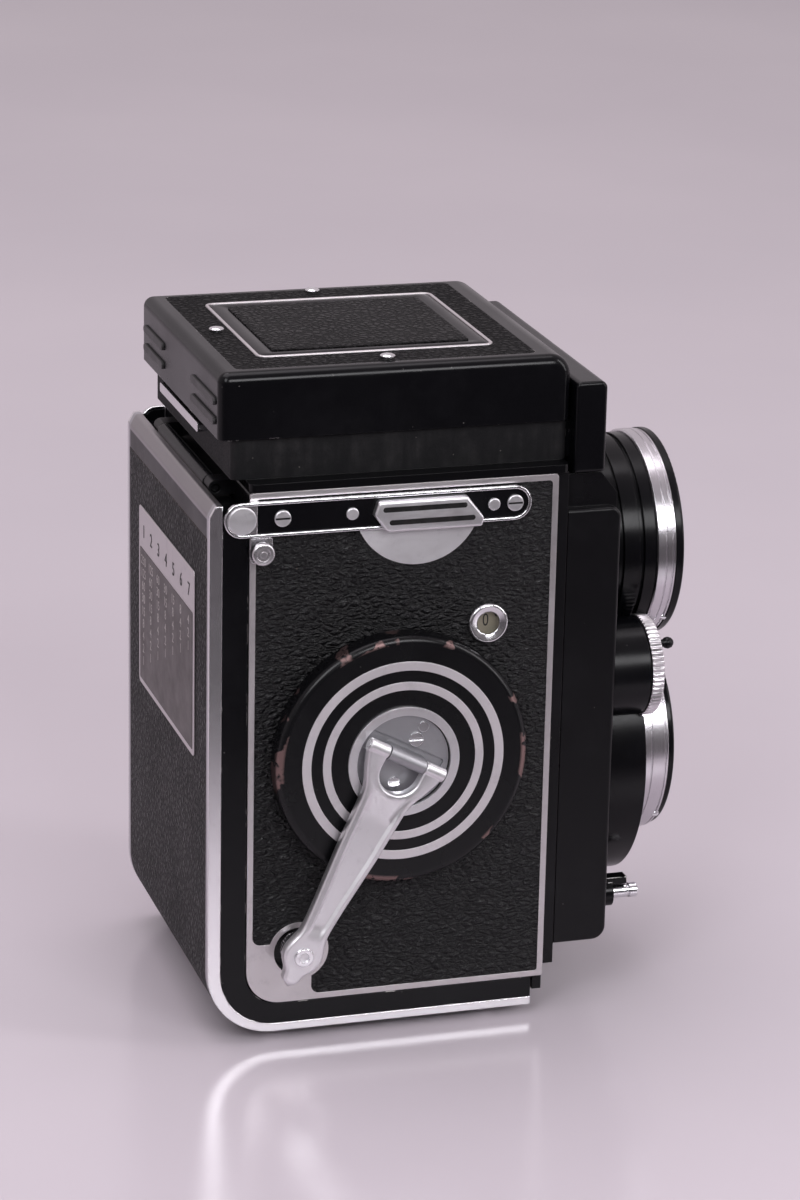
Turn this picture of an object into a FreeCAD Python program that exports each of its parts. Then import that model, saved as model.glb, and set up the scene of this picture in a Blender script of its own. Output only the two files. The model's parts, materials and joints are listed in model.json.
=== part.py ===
import FreeCAD, Part
import math
import os

from FreeCAD import Vector

# A twin lens reflex camera for 120 roll film, in millimetres.
# +Z is up, the two lenses face -Y, the film door is at +Y, the winding crank is at -X and the
# focusing knob is at +X.  The origin is the mouth of the tripod socket, in the middle of the bottom.

# ---- driving dimensions -------------------------------------------------------------------------
HALF_WIDTH = 37.3            # leather face of either side
COVER_FACE = 36.7            # outer face of the side covers, under the leather
CAST_FACE = 35.9             # outer face of the casting, under the side covers
POCKET_FLOOR = 34.1          # floor of the gear pocket in the casting's side
FILM_HALF = 33.1             # half the inner width of the film chambers
FRONT_Y = -37.3              # front edge of the side covers
BAND_Y = -39.8               # face of the front band that the lens standard closes against
REAR_Y = 29.0                # film plane and rear edge of the side covers
LOW_Z = 6.6                  # lower edge of the side covers
TOP_Z = 119.9                # upper edge of the side covers
CORNER = 7.6                 # rounding of the lower rear corner of the side covers

DOOR_Y = 37.4                # outer rear face of the film door
DOOR_CORNER = 14.5           # rounding of the door's lower rear corner
DOOR_FRONT_Y = -34.7         # front end of the door's bottom
STRIP_REAR = 2.7             # width of the bright edge on the rear part of the door
STRIP_LOW = 1.8              # width of the bright edge on the bottom part of the door
DOOR_TOP_Z = 110.3           # top of the leather and of the black skin
DOOR_BAR_TOP = 117.6         # top of the bright bar across the rear
HINGE_Y, HINGE_Z = 33.0, 117.7
FOOT_DROP = 2.5
STRIP_X = 35.2               # inner edge of the bright strips down the door's sides
FLANGE_TOP = 115.4           # top of the door's side flanges
LATCH_Y = -24.0
BUSH_R = 6.5

TRIM_WIDTH = 1.3
RECESS_Y, RECESS_Z, RECESS_R = 17.6, 18.0, 5.4
PLATE_Y, PLATE_Z = 14.7, 20.1   # inner corner of the bright plate round the recess

CRANK_Y, CRANK_Z = -3.26, 61.0
DISC_R, DISC_LOW, DISC_TOP = 27.4, 0.3, 5.0
RIM_R, RIM_IN = 12.1, 10.2
WELL_TOP = 3.2               # floor of the well in the middle of the crank disc
ARM_Y, ARM_Z = -3.1, 62.2    # middle of the folding arm's hinge
ARM_SLOPE = math.radians(27.7)
ARM_RISE = 7.6               # height of the arm's hinge above the leather
ARM_THICK = 2.4
ARM_REACH = 47.2             # from the hinge to the knob's pivot
ARM_TIP = 54.4
KNUCKLE_R = 1.5
KNUCKLE_SPLIT, KNUCKLE_END = 4.4, 9.2   # the hub holds the middle of the hinge, the arm its two ends
HINGE_PIN_R = 0.8
HUB_SCREWS = ((-4.3, -1.1, 1.6), (6.1, -1.2, 1.3), (-7.4, -1.2, 1.2))   # along, across, radius
SLOTTED_R = 1.25             # larger heads than this have a driver slot

GEAR_MODULE = 0.8
CRANK_TEETH = 66
TAKE_UP_TEETH = 26
TAKE_UP_DIRECTION = math.radians(58.8)
SUPPLY_Y, SUPPLY_Z = -21.2, 15.4
SPOOL_R, SPOOL_HALF, SPOOL_CORE = 12.6, 32.4, 5.8
CHAMBER_R = 13.1

GATE_HALF, GATE_Z = 28.3, 50.8   # half the side of the 6 x 6 film gate, and its height
MOUTH_HALF = 15.0            # half the side of the dark chamber's front opening
VIEW_Z, TAKE_Z = 94.2, 48.4  # heights of the two lens axes
MIRROR_RISE = 98.0           # the mirror's bed is the plane z = y + MIRROR_RISE

STANDARD_HALF = 36.5
STANDARD_FRONT = -51.9
STANDARD_LOW, STANDARD_TOP = 13.2, 111.5
STANDARD_GAP_Y = -40.0
TUBE_R = 17.0
STEP_Y = -58.4               # where the upper barrel widens
HOUSING_FRONT, HOUSING_R = -61.8, 31.2
LOBE_FRONT, LOBE_R = -60.6, 10.6
GROOVE = (-62.0, -63.1)      # groove round the upper barrel
VIEW_R, VIEW_RING_R, VIEW_RIM_R = 22.0, 22.6, 22.7
VIEW_RING_BACK, VIEW_RING_FRONT, VIEW_RIM_FRONT = -65.7, -70.1, -71.9
TAKE_R, TAKE_RING_R, TAKE_RIM_R = 21.2, 22.9, 22.3
TAKE_RING_BACK, TAKE_RING_FRONT, TAKE_RIM_FRONT = -64.2, -70.2, -71.8
VIEW_BORE, TAKE_BORE = 14.5, 13.6
WHEEL_X, WHEEL_Z, WHEEL_R = 24.8, 71.8, 11.0
WHEEL_BACK, WHEEL_FRONT = -60.9, -63.7
LEVER_OUT, LEVER_UP, LEVER_Y = 5.0, 6.2, -66.0   # middle of the wheel's ball-ended lever
RELEASE_X, RELEASE_Z, RELEASE_R = -28.0, 20.5, 1.6

DECK_Z = 121.7
BASE_HALF, BASE_TOP = 33.4, 130.2
BASE_FRONT, BASE_REAR = -40.2, 31.9
LID_HALF, LID_LOW, LID_TOP = 34.7, 130.5, 144.5
LID_REAR = 34.8
LID_HINGE_Y, LID_HINGE_Z, LID_NOSE_R = -36.1, 140.1, 4.4
FRAME = (-23.3, 23.3, -27.2, 23.9)   # outer edges of the bright frame on the lid
PANEL_X, PANEL_Z, PANEL_THICK = 31.6, 131.3, 0.8
REAR_PANEL_Y, REAR_PANEL_Z = 29.5, 132.5

LUG_Z, LUG_R = 114.6, 3.75
LUG_REAR_Y, LUG_FRONT_Y = 30.9, -27.35
BRIDGE_TOP = 2.9
WINDOW_Y, WINDOW_Z = -22.6, 88.4
DIAL_Y, DIAL_Z, DIAL_R = -20.0, 94.0, 9.5
BUTTON_Y, BUTTON_Z = 26.9, 107.8
FOCUS_Y, FOCUS_Z, FOCUS_R = -4.0, 61.0, 17.5

RUNNING = 0.06               # radial clearance of a running fit
GAP = 0.3                    # clearance between neighbours that move


# ---- shared helpers -----------------------------------------------------------------------------
NORMALS = {"x": Vector(1, 0, 0), "y": Vector(0, 1, 0), "z": Vector(0, 0, 1)}


def spot(axis, along, a, b):
    """The point at distance `along` on an axis, with its other two coordinates in X, Y, Z order."""
    if axis == "x":
        return Vector(along, a, b)
    if axis == "y":
        return Vector(a, along, b)
    return Vector(a, b, along)


def box(x0, x1, y0, y1, z0, z1):
    return Part.makeBox(x1 - x0, y1 - y0, z1 - z0, Vector(x0, y0, z0))


def rod(axis, start, end, a, b, radius):
    """A cylinder between two places on an axis."""
    low, high = sorted((start, end))
    return Part.makeCylinder(radius, high - low, spot(axis, low, a, b), NORMALS[axis])


def tube(axis, start, end, a, b, outer, inner):
    return rod(axis, start, end, a, b, outer).cut(rod(axis, start, end, a, b, inner))


def cone(axis, start, end, a, b, start_radius, end_radius):
    """A cone or frustum whose radius goes from start_radius to end_radius."""
    direction = NORMALS[axis] * (1 if end > start else -1)
    return Part.makeCone(start_radius, end_radius, abs(end - start), spot(axis, start, a, b), direction)


def outline(axis, along, points, radii):
    """A closed wire through corner points, each rounded by its radius (0 leaves it sharp)."""
    corners = [spot(axis, along, a, b) for a, b in points]
    edges = []
    ends = []
    for i, corner in enumerate(corners):
        before = (corners[i - 1] - corner).normalize()
        after = (corners[(i + 1) % len(corners)] - corner).normalize()
        if radii[i] == 0:
            ends.append((corner, corner))
            continue
        half = before.getAngle(after) / 2
        middle = (before + after).normalize()
        start = corner + before * (radii[i] / math.tan(half))
        end = corner + after * (radii[i] / math.tan(half))
        crown = corner + middle * (radii[i] / math.sin(half) - radii[i])
        edges.append((i, Part.Arc(start, crown, end).toShape()))
        ends.append((start, end))
    arcs = dict(edges)
    path = []
    for i in range(len(corners)):
        if i in arcs:
            path.append(arcs[i])
        here, there = ends[i][1], ends[(i + 1) % len(corners)][0]
        if here.distanceToPoint(there) > 1e-6:
            path.append(Part.LineSegment(here, there).toShape())
    return Part.Wire(path)


def prism(axis, start, end, points, radii=None):
    """A prism along an axis, with an outline of corner points and their roundings."""
    wire = outline(axis, start, points, radii or [0] * len(points))
    return Part.Face(wire).extrude(NORMALS[axis] * (end - start))


def plate(axis, start, end, a0, a1, b0, b1, radius):
    """A rectangular prism along an axis with all four corners rounded."""
    return prism(axis, start, end, [(a0, b0), (a1, b0), (a1, b1), (a0, b1)], [radius] * 4)


def join(first, *others):
    return first.fuse(list(others)).removeSplitter()


def turned(shape, axis, degrees, a, b):
    """The shape turned about a line along an axis."""
    copy = shape.copy()
    copy.rotate(spot(axis, 0, a, b), NORMALS[axis], degrees)
    return copy


def mirrored(shape):
    """The shape on the other side of the camera's middle plane."""
    return shape.mirror(Vector(0, 0, 0), NORMALS["x"])


def both_sides(shape):
    return [shape, mirrored(shape)]


def softened(shape, radius, keep):
    """The shape with a fillet on every edge whose middle satisfies keep."""
    edges = [e for e in shape.Edges if keep(e.CenterOfMass)]
    return shape.makeFillet(radius, edges)


def out(height):
    """The X coordinate at a height above the leather on the crank side."""
    return -(HALF_WIDTH + height)


def export(name, *shapes):
    """Write one sub-part of one or more closed solids."""
    solids = [solid for shape in shapes for solid in shape.Solids]
    for solid in solids:
        if not solid.isValid():
            raise ValueError(name + " isn't a valid solid")
    Part.makeCompound(solids).exportStep("parts/" + name + ".step")


def side_face(x0, x1, inset=0.0):
    """A slab with the outline of a side of the body, set in by a distance."""
    points = [
        (FRONT_Y + inset, LOW_Z + inset),
        (REAR_Y - inset, LOW_Z + inset),
        (REAR_Y - inset, TOP_Z - inset),
        (FRONT_Y + inset, TOP_Z - inset),
    ]
    return prism("x", x0, x1, points, [0.5, CORNER - inset, 0.8, 0.8])


def gear(teeth, x0, x1, y, z, direction, gap_first):
    """A spur gear with involute teeth, with a tooth (or a gap) pointing in a direction."""
    pitch = GEAR_MODULE * teeth / 2
    base = pitch * math.cos(math.radians(20))
    tip = pitch + GEAR_MODULE
    root = pitch - 1.25 * GEAR_MODULE
    backlash = 0.06
    at_pitch = math.pi / (2 * teeth) - backlash / pitch

    def involute(radius):
        slant = math.acos(min(1.0, base / radius))
        return math.tan(slant) - slant

    flank = [max(root, base), pitch, tip]
    halves = [at_pitch + involute(pitch) - involute(radius) for radius in flank]
    points = []
    start = direction + (math.pi / teeth if gap_first else 0)
    for i in range(teeth):
        middle = start + 2 * math.pi * i / teeth
        polar = [(root, middle - halves[0])]
        polar += [(radius, middle - half) for radius, half in zip(flank, halves)]
        polar += [(radius, middle + half) for radius, half in zip(flank[::-1], halves[::-1])]
        polar.append((root, middle + halves[0]))
        points += [Vector(x0, y + r * math.cos(a), z + r * math.sin(a)) for r, a in polar]
    clean = [p for i, p in enumerate(points) if p.distanceToPoint(points[i - 1]) > 1e-4]
    face = Part.Face(Part.makePolygon(clean + [clean[0]]))
    return face.extrude(Vector(x1 - x0, 0, 0))


GEAR_SPAN = GEAR_MODULE * (CRANK_TEETH + TAKE_UP_TEETH) / 2
TAKE_UP_Y = CRANK_Y + GEAR_SPAN * math.cos(TAKE_UP_DIRECTION)
TAKE_UP_Z = CRANK_Z + GEAR_SPAN * math.sin(TAKE_UP_DIRECTION)
UPPER_ROLLER = (26.9, 81.3)
LOWER_ROLLER = (26.9, 19.4)
ROLLER_R, ROLLER_PIN_R, ROLLER_END = 2.0, 1.0, 33.8


# ---- the body -----------------------------------------------------------------------------------
def body_casting():
    """The die-cast body: dark chamber, mirror chamber, two film chambers and the gear pockets."""
    body = side_face(-CAST_FACE, CAST_FACE)
    band = box(-36.6, 36.6, BAND_Y, FRONT_Y, 9.0, TOP_Z)
    lip = box(-36.6, 36.6, FRONT_Y, -35.3, 3.2, LOW_Z)
    body = join(body, band, lip)

    ends = [outline("y", y, [(-half, GATE_Z - half), (half, GATE_Z - half), (half, GATE_Z + half),
                             (-half, GATE_Z + half)], [0] * 4)
            for y, half in ((BAND_Y, MOUTH_HALF), (REAR_Y, GATE_HALF))]
    dark_chamber = Part.makeLoft(ends, True, True)

    mirror_chamber = prism("x", -30, 30, [
        (-34.5, TOP_Z), (-34.5, 70.5), (-27.5, MIRROR_RISE - 27.5), (20.5, MIRROR_RISE + 20.5), (25.5, TOP_Z)])
    view_hole = rod("y", BAND_Y, -34.0, 0, VIEW_Z, 19.0)

    take_up = join(
        rod("x", -FILM_HALF, FILM_HALF, TAKE_UP_Y, TAKE_UP_Z, CHAMBER_R),
        box(-FILM_HALF, FILM_HALF, TAKE_UP_Y, REAR_Y, TAKE_UP_Z - CHAMBER_R, TAKE_UP_Z + CHAMBER_R))
    supply = join(
        rod("x", -FILM_HALF, FILM_HALF, SUPPLY_Y, SUPPLY_Z, CHAMBER_R),
        box(-FILM_HALF, FILM_HALF, SUPPLY_Y - CHAMBER_R, SUPPLY_Y + CHAMBER_R, LOW_Z, SUPPLY_Z),
        box(-FILM_HALF, FILM_HALF, SUPPLY_Y, REAR_Y, LOW_Z, LOWER_ROLLER[1] - 2))
    roller_room = ROLLER_R + 0.4
    rollers = []
    for y, z in (UPPER_ROLLER, LOWER_ROLLER):
        rollers.append(rod("x", -FILM_HALF, FILM_HALF, y, z, roller_room))
        rollers.append(rod("x", -ROLLER_END - 0.1, ROLLER_END + 0.1, y, z, ROLLER_PIN_R + RUNNING))
        rollers.append(box(-FILM_HALF, FILM_HALF, y, REAR_Y, z - roller_room, z + roller_room))

    screen_seat = box(-30, 30, -34.5, 25.4, 118.2, TOP_Z)
    gear_pocket = plate("x", -CAST_FACE, -POCKET_FLOOR, -34, 27.4, 33.4, 116, 3)
    drive_pocket = plate("x", POCKET_FLOOR, CAST_FACE, -34, 12.0, 36, 84, 3)
    crank_bore = rod("x", -POCKET_FLOOR, -30.0, CRANK_Y, CRANK_Z, 2.0 + RUNNING)
    focus_bore = rod("x", 30.0, POCKET_FLOOR, FOCUS_Y, FOCUS_Z, 2.0 + RUNNING)
    take_up_bore = rod("x", -POCKET_FLOOR, -FILM_HALF, TAKE_UP_Y, TAKE_UP_Z, 3.0 + RUNNING)
    dial_bore = rod("x", -POCKET_FLOOR, -32.0, DIAL_Y, DIAL_Z, 1.0 + RUNNING)
    knob_bores = [rod("x", FILM_HALF, CAST_FACE, y, z, 2.4 + RUNNING)
                  for y, z in ((SUPPLY_Y, SUPPLY_Z), (TAKE_UP_Y, TAKE_UP_Z))]
    button_bore = rod("x", -CAST_FACE, -33.4, BUTTON_Y, BUTTON_Z, 1.2 + RUNNING)
    recess = rod("x", -CAST_FACE, -34.6, RECESS_Y, RECESS_Z, RECESS_R)

    body = body.cut([dark_chamber, mirror_chamber, screen_seat, view_hole, take_up, supply])
    body = body.cut([gear_pocket, drive_pocket, crank_bore, focus_bore, take_up_bore, dial_bore, button_bore,
                     recess] + rollers + knob_bores)
    supply_pin = rod("x", -FILM_HALF - 0.5, -30.6, SUPPLY_Y, SUPPLY_Z, 2.4)
    lugs = [hinge_lug(side) for side in (-1, 1)]
    return join(body, supply_pin, *lugs)


def hinge_lug(side):
    """One of the two lugs that the film door hangs from."""
    x0, x1 = sorted((side * 20.3, side * 24.6))
    lug = prism("x", x0, x1, [(REAR_Y - 1, 116.2), (HINGE_Y + 1.5, 116.2), (HINGE_Y + 1.5, 119.4),
                              (REAR_Y - 1, 119.4)], [0, 1.5, 1.5, 0])
    return lug.cut(rod("x", x0, x1, HINGE_Y, HINGE_Z, 0.9 + RUNNING))


def side_cover_crank_side():
    cover = side_face(-COVER_FACE, -CAST_FACE)
    return cover.cut([
        rod("x", -COVER_FACE, -CAST_FACE, CRANK_Y, CRANK_Z, 3.0 + RUNNING),
        rod("x", -COVER_FACE, -CAST_FACE, WINDOW_Y, WINDOW_Z, 3.4),
        rod("x", -COVER_FACE, -CAST_FACE, RECESS_Y, RECESS_Z, RECESS_R),
        rod("x", -COVER_FACE, -CAST_FACE, BUTTON_Y, BUTTON_Z, 1.2 + RUNNING)])


def side_cover_focus_side():
    cover = side_face(CAST_FACE, COVER_FACE)
    return cover.cut([
        rod("x", CAST_FACE, COVER_FACE, FOCUS_Y, FOCUS_Z, 3.0 + RUNNING),
        rod("x", CAST_FACE, COVER_FACE, SUPPLY_Y, SUPPLY_Z, 2.4 + RUNNING),
        rod("x", CAST_FACE, COVER_FACE, TAKE_UP_Y, TAKE_UP_Z, 2.4 + RUNNING)])


def corner_plate(x0, x1):
    """The bright plate in the lower rear corner, round the recess for the crank's knob."""
    quarter = box(min(x0, x1), max(x0, x1), PLATE_Y, REAR_Y, LOW_Z, PLATE_Z)
    ring = rod("x", x0, x1, RECESS_Y, RECESS_Z, RECESS_R + 1.2)
    return join(quarter, ring).common(side_face(x0, x1))


def crank_side_field(x0, x1):
    """The field inside the bright line on the crank side, cut back round the corner plate."""
    field = side_face(x0, x1, TRIM_WIDTH).cut(corner_plate(x0, x1))
    corners = ((REAR_Y - TRIM_WIDTH, PLATE_Z), (PLATE_Y, LOW_Z + TRIM_WIDTH))
    return softened(field, 1.8, lambda c: any(math.hypot(c.y - y, c.z - z) < 0.1 for y, z in corners))


def side_trim_frames():
    """The bright line round each side; on the crank side it widens round the recess."""
    x0, x1 = -HALF_WIDTH - 0.1, -COVER_FACE
    crank_side = side_face(x0, x1).cut([
        crank_side_field(x0, x1),
        rod("x", x0, x1, RECESS_Y, RECESS_Z, RECESS_R),
        rod("x", x0, x1, BUTTON_Y, BUTTON_Z, 1.2 + RUNNING)])
    plain = side_face(x0, x1).cut(side_face(x0, x1, TRIM_WIDTH))
    return [crank_side, mirrored(plain)]


def side_leathers():
    x0, x1 = -HALF_WIDTH, -COVER_FACE
    crank_side = crank_side_field(x0, x1).cut([
        rod("x", x0, x1, CRANK_Y, CRANK_Z, 5.0),
        rod("x", x0, x1, WINDOW_Y, WINDOW_Z, 4.0),
        rod("x", x0, x1, BUTTON_Y, BUTTON_Z, 1.6)])
    focus_side = mirrored(side_face(x0, x1, TRIM_WIDTH)).cut([
        rod("x", -x1, -x0, FOCUS_Y, FOCUS_Z, 5.0),
        rod("x", -x1, -x0, SUPPLY_Y, SUPPLY_Z, 3.4),
        rod("x", -x1, -x0, TAKE_UP_Y, TAKE_UP_Z, 3.4)])
    return [crank_side, focus_side]


def strap_lug_bars():
    """A long bar with round ends on each side, raised at its edge, over a half-round plate."""

    def stadium(x0, x1, inset):
        wide = LUG_R - inset
        ends = [rod("x", x0, x1, y, LUG_Z, wide) for y in (LUG_FRONT_Y, LUG_REAR_Y)]
        return join(box(x0, x1, LUG_FRONT_Y, LUG_REAR_Y, LUG_Z - wide, LUG_Z + wide), *ends)

    bar = stadium(out(1.4), out(0.1), 0).cut([stadium(out(1.4), out(0.9), 1.1), bridge_block()])
    end_disc = rod("x", out(1.6), out(0.9), LUG_REAR_Y, LUG_Z, LUG_R - 1.1)
    return both_sides(join(bar, end_disc))


def strap_backplates():
    """The bright half-round plate that shows under the strap bridge."""
    disc = rod("x", out(0.1), out(0), -6.85, 116.2, 13.8)
    lower = box(out(0.1), out(0), -21, 8, 100, LUG_Z - LUG_R + 0.4)
    return both_sides(disc.common(lower))


def bridge_block():
    points = [(3.3, 114.2), (2.35, 117.2), (-16.7, 117.2), (-20.5, 112.2), (-20.0, 110.4), (0.5, 110.4)]
    return prism("x", out(BRIDGE_TOP), out(0.9), points, [0.8, 1.0, 1.2, 1.0, 0.6, 1.2])


def strap_bridges():
    """The raised plate with two long slots that the carrying strap clips to."""
    slots = [plate("x", out(BRIDGE_TOP), out(BRIDGE_TOP - 0.9), -16.0 + shift, -0.5 + shift, z - 0.5, z + 0.5, 0.49)
             for z, shift in ((115.3, 0.6), (112.7, -1.0))]
    return both_sides(bridge_block().cut(slots))


def side_screws():
    """Slotted screws and rivets in the strap lug bars."""
    pieces = []
    for y, radius, slotted in ((22.4, 1.75, True), (-27.5, 1.75, True), (7.6, 1.4, False), (-22.9, 1.4, False)):
        head = rod("x", out(1.5), out(0.9), y, LUG_Z, radius)
        if slotted:
            head = head.cut(box(out(1.5), out(1.2), y - radius, y + radius, LUG_Z - 0.25, LUG_Z + 0.25))
        pieces += both_sides(head)
    return pieces


def counter_bezel():
    collar = tube("x", out(0.9), -COVER_FACE, WINDOW_Y, WINDOW_Z, 4.0, 3.1)
    flange = tube("x", out(0.9), out(0), WINDOW_Y, WINDOW_Z, 4.4, 3.1)
    return join(collar, flange)


def counter_glass():
    return rod("x", out(0.4), out(-0.4), WINDOW_Y, WINDOW_Z, 3.1)


def nameplate_block():
    """The raised block across the top of the front, with nothing written on it."""
    half, rear, front = 36.0, -41.1, -48.0
    block = prism("x", -half, half, [(rear, 119.2), (front, 119.2), (front, 138.8), (rear, 138.8)],
                  [0, 0.9, 1.6, 1.2])
    block = softened(block, 0.8, lambda c: abs(c.x) > half - 0.1 and c.y < rear - 0.1)
    foot = box(-32.0, 32.0, -41.6, BASE_FRONT, 121.9, 129.6)
    return join(block, foot)


def hood_base():
    """The flange on top of the body and the low wall that the focusing hood folds into."""
    flange = plate("z", TOP_Z, DECK_Z, -37.2, 37.2, BAND_Y, 28.9, 1.5)
    outer = plate("z", DECK_Z, BASE_TOP, -BASE_HALF, BASE_HALF, BASE_FRONT, BASE_REAR, 1.5)
    outer = outer.common(box(-BASE_HALF, BASE_HALF, BASE_FRONT, BASE_REAR, DECK_Z, BASE_TOP))
    well = box(-32.2, 32.2, -38.8, 30.6, DECK_Z, BASE_TOP)
    window = box(-28.6, 28.6, -32.6, 24.6, TOP_Z, DECK_Z)
    return join(flange, outer.cut(well)).cut(window)


def focusing_screen():
    return box(-29.8, 29.8, -34.3, 25.2, 118.3, TOP_Z)


def reflex_mirror():
    """The surface-silvered mirror, lying at 45 degrees on its bed in the casting."""
    lower, upper, thick = -26.8, 18.6, 1.5
    rise = thick * math.sqrt(2)
    points = [(lower, MIRROR_RISE + lower), (upper, MIRROR_RISE + upper),
              (upper - rise / 2, MIRROR_RISE + upper + rise / 2),
              (lower - rise / 2, MIRROR_RISE + lower + rise / 2)]
    return prism("x", -29.5, 29.5, points)


def film_roller(place):
    y, z = place
    return join(rod("x", -32.8, 32.8, y, z, ROLLER_R), rod("x", -ROLLER_END, ROLLER_END, y, z, ROLLER_PIN_R))


def counter_dial():
    """The disc that carries the frame numbers, turning on its own pin."""
    return join(rod("x", -35.5, -34.8, DIAL_Y, DIAL_Z, DIAL_R), rod("x", -34.8, -32.2, DIAL_Y, DIAL_Z, 1.0))


def exposure_button():
    stem = rod("x", out(1.5), -34.6, BUTTON_Y, BUTTON_Z, 1.2)
    head = rod("x", out(3.6), out(1.5), BUTTON_Y, BUTTON_Z, 2.45)
    return join(softened(head, 0.4, lambda c: c.x < out(3.5)), stem)


# ---- the film door ------------------------------------------------------------------------------
def door_profile(x0, x1, rear, low, radius, top=DOOR_TOP_Z, front=DOOR_FRONT_Y):
    """A slab that fills everything in front of and above a face of the door."""
    points = [(front, low), (rear, low), (rear, top), (front, top)]
    return prism("x", x0, x1, points, [0, radius, 0, 0])


def door_band(x0, x1, outer, inner):
    """The L-shaped band between two faces of the door, each given as rear, low, radius and top."""
    return door_profile(x0, x1, *outer).cut(door_profile(x0, x1, *inner))


FACE = (DOOR_Y, 0.0, DOOR_CORNER)
UNDER_LEATHER = (DOOR_Y - 0.6, 0.4, DOOR_CORNER - 0.5)
STRIP_INNER = (DOOR_Y - STRIP_REAR, STRIP_LOW, DOOR_CORNER - 2.2)
AGAINST_BODY = (REAR_Y + 0.2, LOW_Z - 0.2, CORNER)


def back_door():
    """The hinged back and bottom: an L-shaped sheet with deep side flanges and a hinge barrel."""
    skin = door_band(-STRIP_X, STRIP_X, UNDER_LEATHER, STRIP_INNER)
    tall_inner, tall_body = STRIP_INNER + (FLANGE_TOP,), AGAINST_BODY + (FLANGE_TOP,)
    flanges = [door_band(x0, x1, tall_inner, tall_body) for x0, x1 in ((-37.2, -34.2), (34.2, 37.2))]
    front_bar = box(-34.2, 34.2, DOOR_FRONT_Y, DOOR_FRONT_Y + 1.6, 1.6, 3.0)
    barrel = rod("x", -20.0, 20.0, HINGE_Y, HINGE_Z, 1.7)
    wall = box(-34.2, 34.2, HINGE_Y, STRIP_INNER[0], DOOR_TOP_Z - 6, FLANGE_TOP)
    roof = box(-34.2, 34.2, REAR_Y + 0.5, HINGE_Y, FLANGE_TOP - 1.4, FLANGE_TOP)
    web = box(-20.0, 20.0, HINGE_Y, STRIP_INNER[0], FLANGE_TOP, HINGE_Z)
    pins = rod("x", -24.0, 24.0, HINGE_Y, HINGE_Z, 0.9)
    shell = join(skin, *flanges, front_bar, barrel, wall, roof, web, pins)
    latch_bore = rod("z", 0, 3.5, 0, LATCH_Y, 1.5 + RUNNING)
    bush_seat = rod("z", 0, 3.5, 0, 0, BUSH_R)
    return shell.cut([latch_bore, bush_seat])


def door_edge_trim():
    """The bright edge of the door: an L-shaped strip down each side and a bar across the top."""
    strips = both_sides(door_band(-HALF_WIDTH, -STRIP_X, FACE, STRIP_INNER))
    bar = prism("x", -HALF_WIDTH, HALF_WIDTH, [
        (STRIP_INNER[0], DOOR_TOP_Z), (DOOR_Y, DOOR_TOP_Z), (DOOR_Y, 115.2), (DOOR_Y - 1.3, DOOR_BAR_TOP),
        (STRIP_INNER[0], DOOR_BAR_TOP)], [0, 0, 1.5, 0.8, 0])
    return join(bar, *strips)


def door_leather():
    skin = door_band(-STRIP_X + 0.1, STRIP_X - 0.1, FACE, UNDER_LEATHER)
    return skin.common(box(-36, 36, 0, 40, 3.0, 110.2))


def exposure_table():
    """The plate on the door that carries the exposure guide."""
    return plate("y", DOOR_Y, DOOR_Y + 0.35, -25.3, 25.3, 59.2, 100.1, 1.2)


def pressure_plate():
    return plate("y", 29.4, 30.4, -30.5, 30.5, 21.5, 80.0, 1.5)


def pressure_springs():
    """Two bowed leaf springs between the door and the pressure plate."""
    springs = []
    for z in (36.0, 65.0):
        crown, root, thick = 30.4, 34.7, 0.4
        outer = Part.Arc(Vector(-18, root - thick, z), Vector(0, crown, z), Vector(18, root - thick, z)).toShape()
        inner = Part.Arc(Vector(-18, root, z), Vector(0, crown + thick, z), Vector(18, root, z)).toShape()
        sides = [Part.LineSegment(Vector(x, root - thick, z), Vector(x, root, z)).toShape() for x in (18, -18)]
        springs.append(Part.Face(Part.Wire([outer, sides[0], inner, sides[1]])).extrude(Vector(0, 0, 6)))
    return springs


def feet():
    return [rod("z", -FOOT_DROP, 0.4, x, y, 2.3) for x in (-31.5, 31.5) for y in (21.0, -25.5)]


def tripod_bush():
    bush = rod("z", 0, 6.0, 0, 0, BUSH_R)
    return bush.cut(rod("z", 0, 5.2, 0, 0, 3.175))


def door_latch():
    """The lever under the bottom that locks the door, on its own pin."""
    hub = rod("z", -1.9, -0.3, 0, LATCH_Y, 7.0)
    lever = plate("z", -1.9, -0.3, -4.0, 4.0, LATCH_Y - 9.5, LATCH_Y, 2.0)
    pin = rod("z", -0.3, 1.8, 0, LATCH_Y, 1.5)
    head = rod("z", 2.1, 2.5, 0, LATCH_Y, 2.4)
    neck = rod("z", 1.8, 2.1, 0, LATCH_Y, 1.5)
    return join(hub, lever, pin, neck, head)


# ---- the winding crank --------------------------------------------------------------------------
def crank_place(along, across, height):
    """A point on the crank, measured along the folded arm, across it and above the leather."""
    ahead = Vector(0, math.sin(ARM_SLOPE), -math.cos(ARM_SLOPE))
    sideways = Vector(0, math.cos(ARM_SLOPE), math.sin(ARM_SLOPE))
    return Vector(out(height), ARM_Y, ARM_Z) + ahead * along + sideways * across


def crank_rod(start, end, height, radius):
    """A cylinder along the arm's hinge, from one place across the crank to another."""
    first = crank_place(0, start, height)
    return Part.makeCylinder(radius, abs(end - start), first, crank_place(0, end, height) - first)


def crank_prism(low, high, points, radii):
    """A prism standing on the crank, with its outline given along and across the arm."""
    corners = [crank_place(along, across, low) for along, across in points]
    flat = [(corner.y, corner.z) for corner in corners]
    return prism("x", out(low), out(high), flat, radii)


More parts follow.
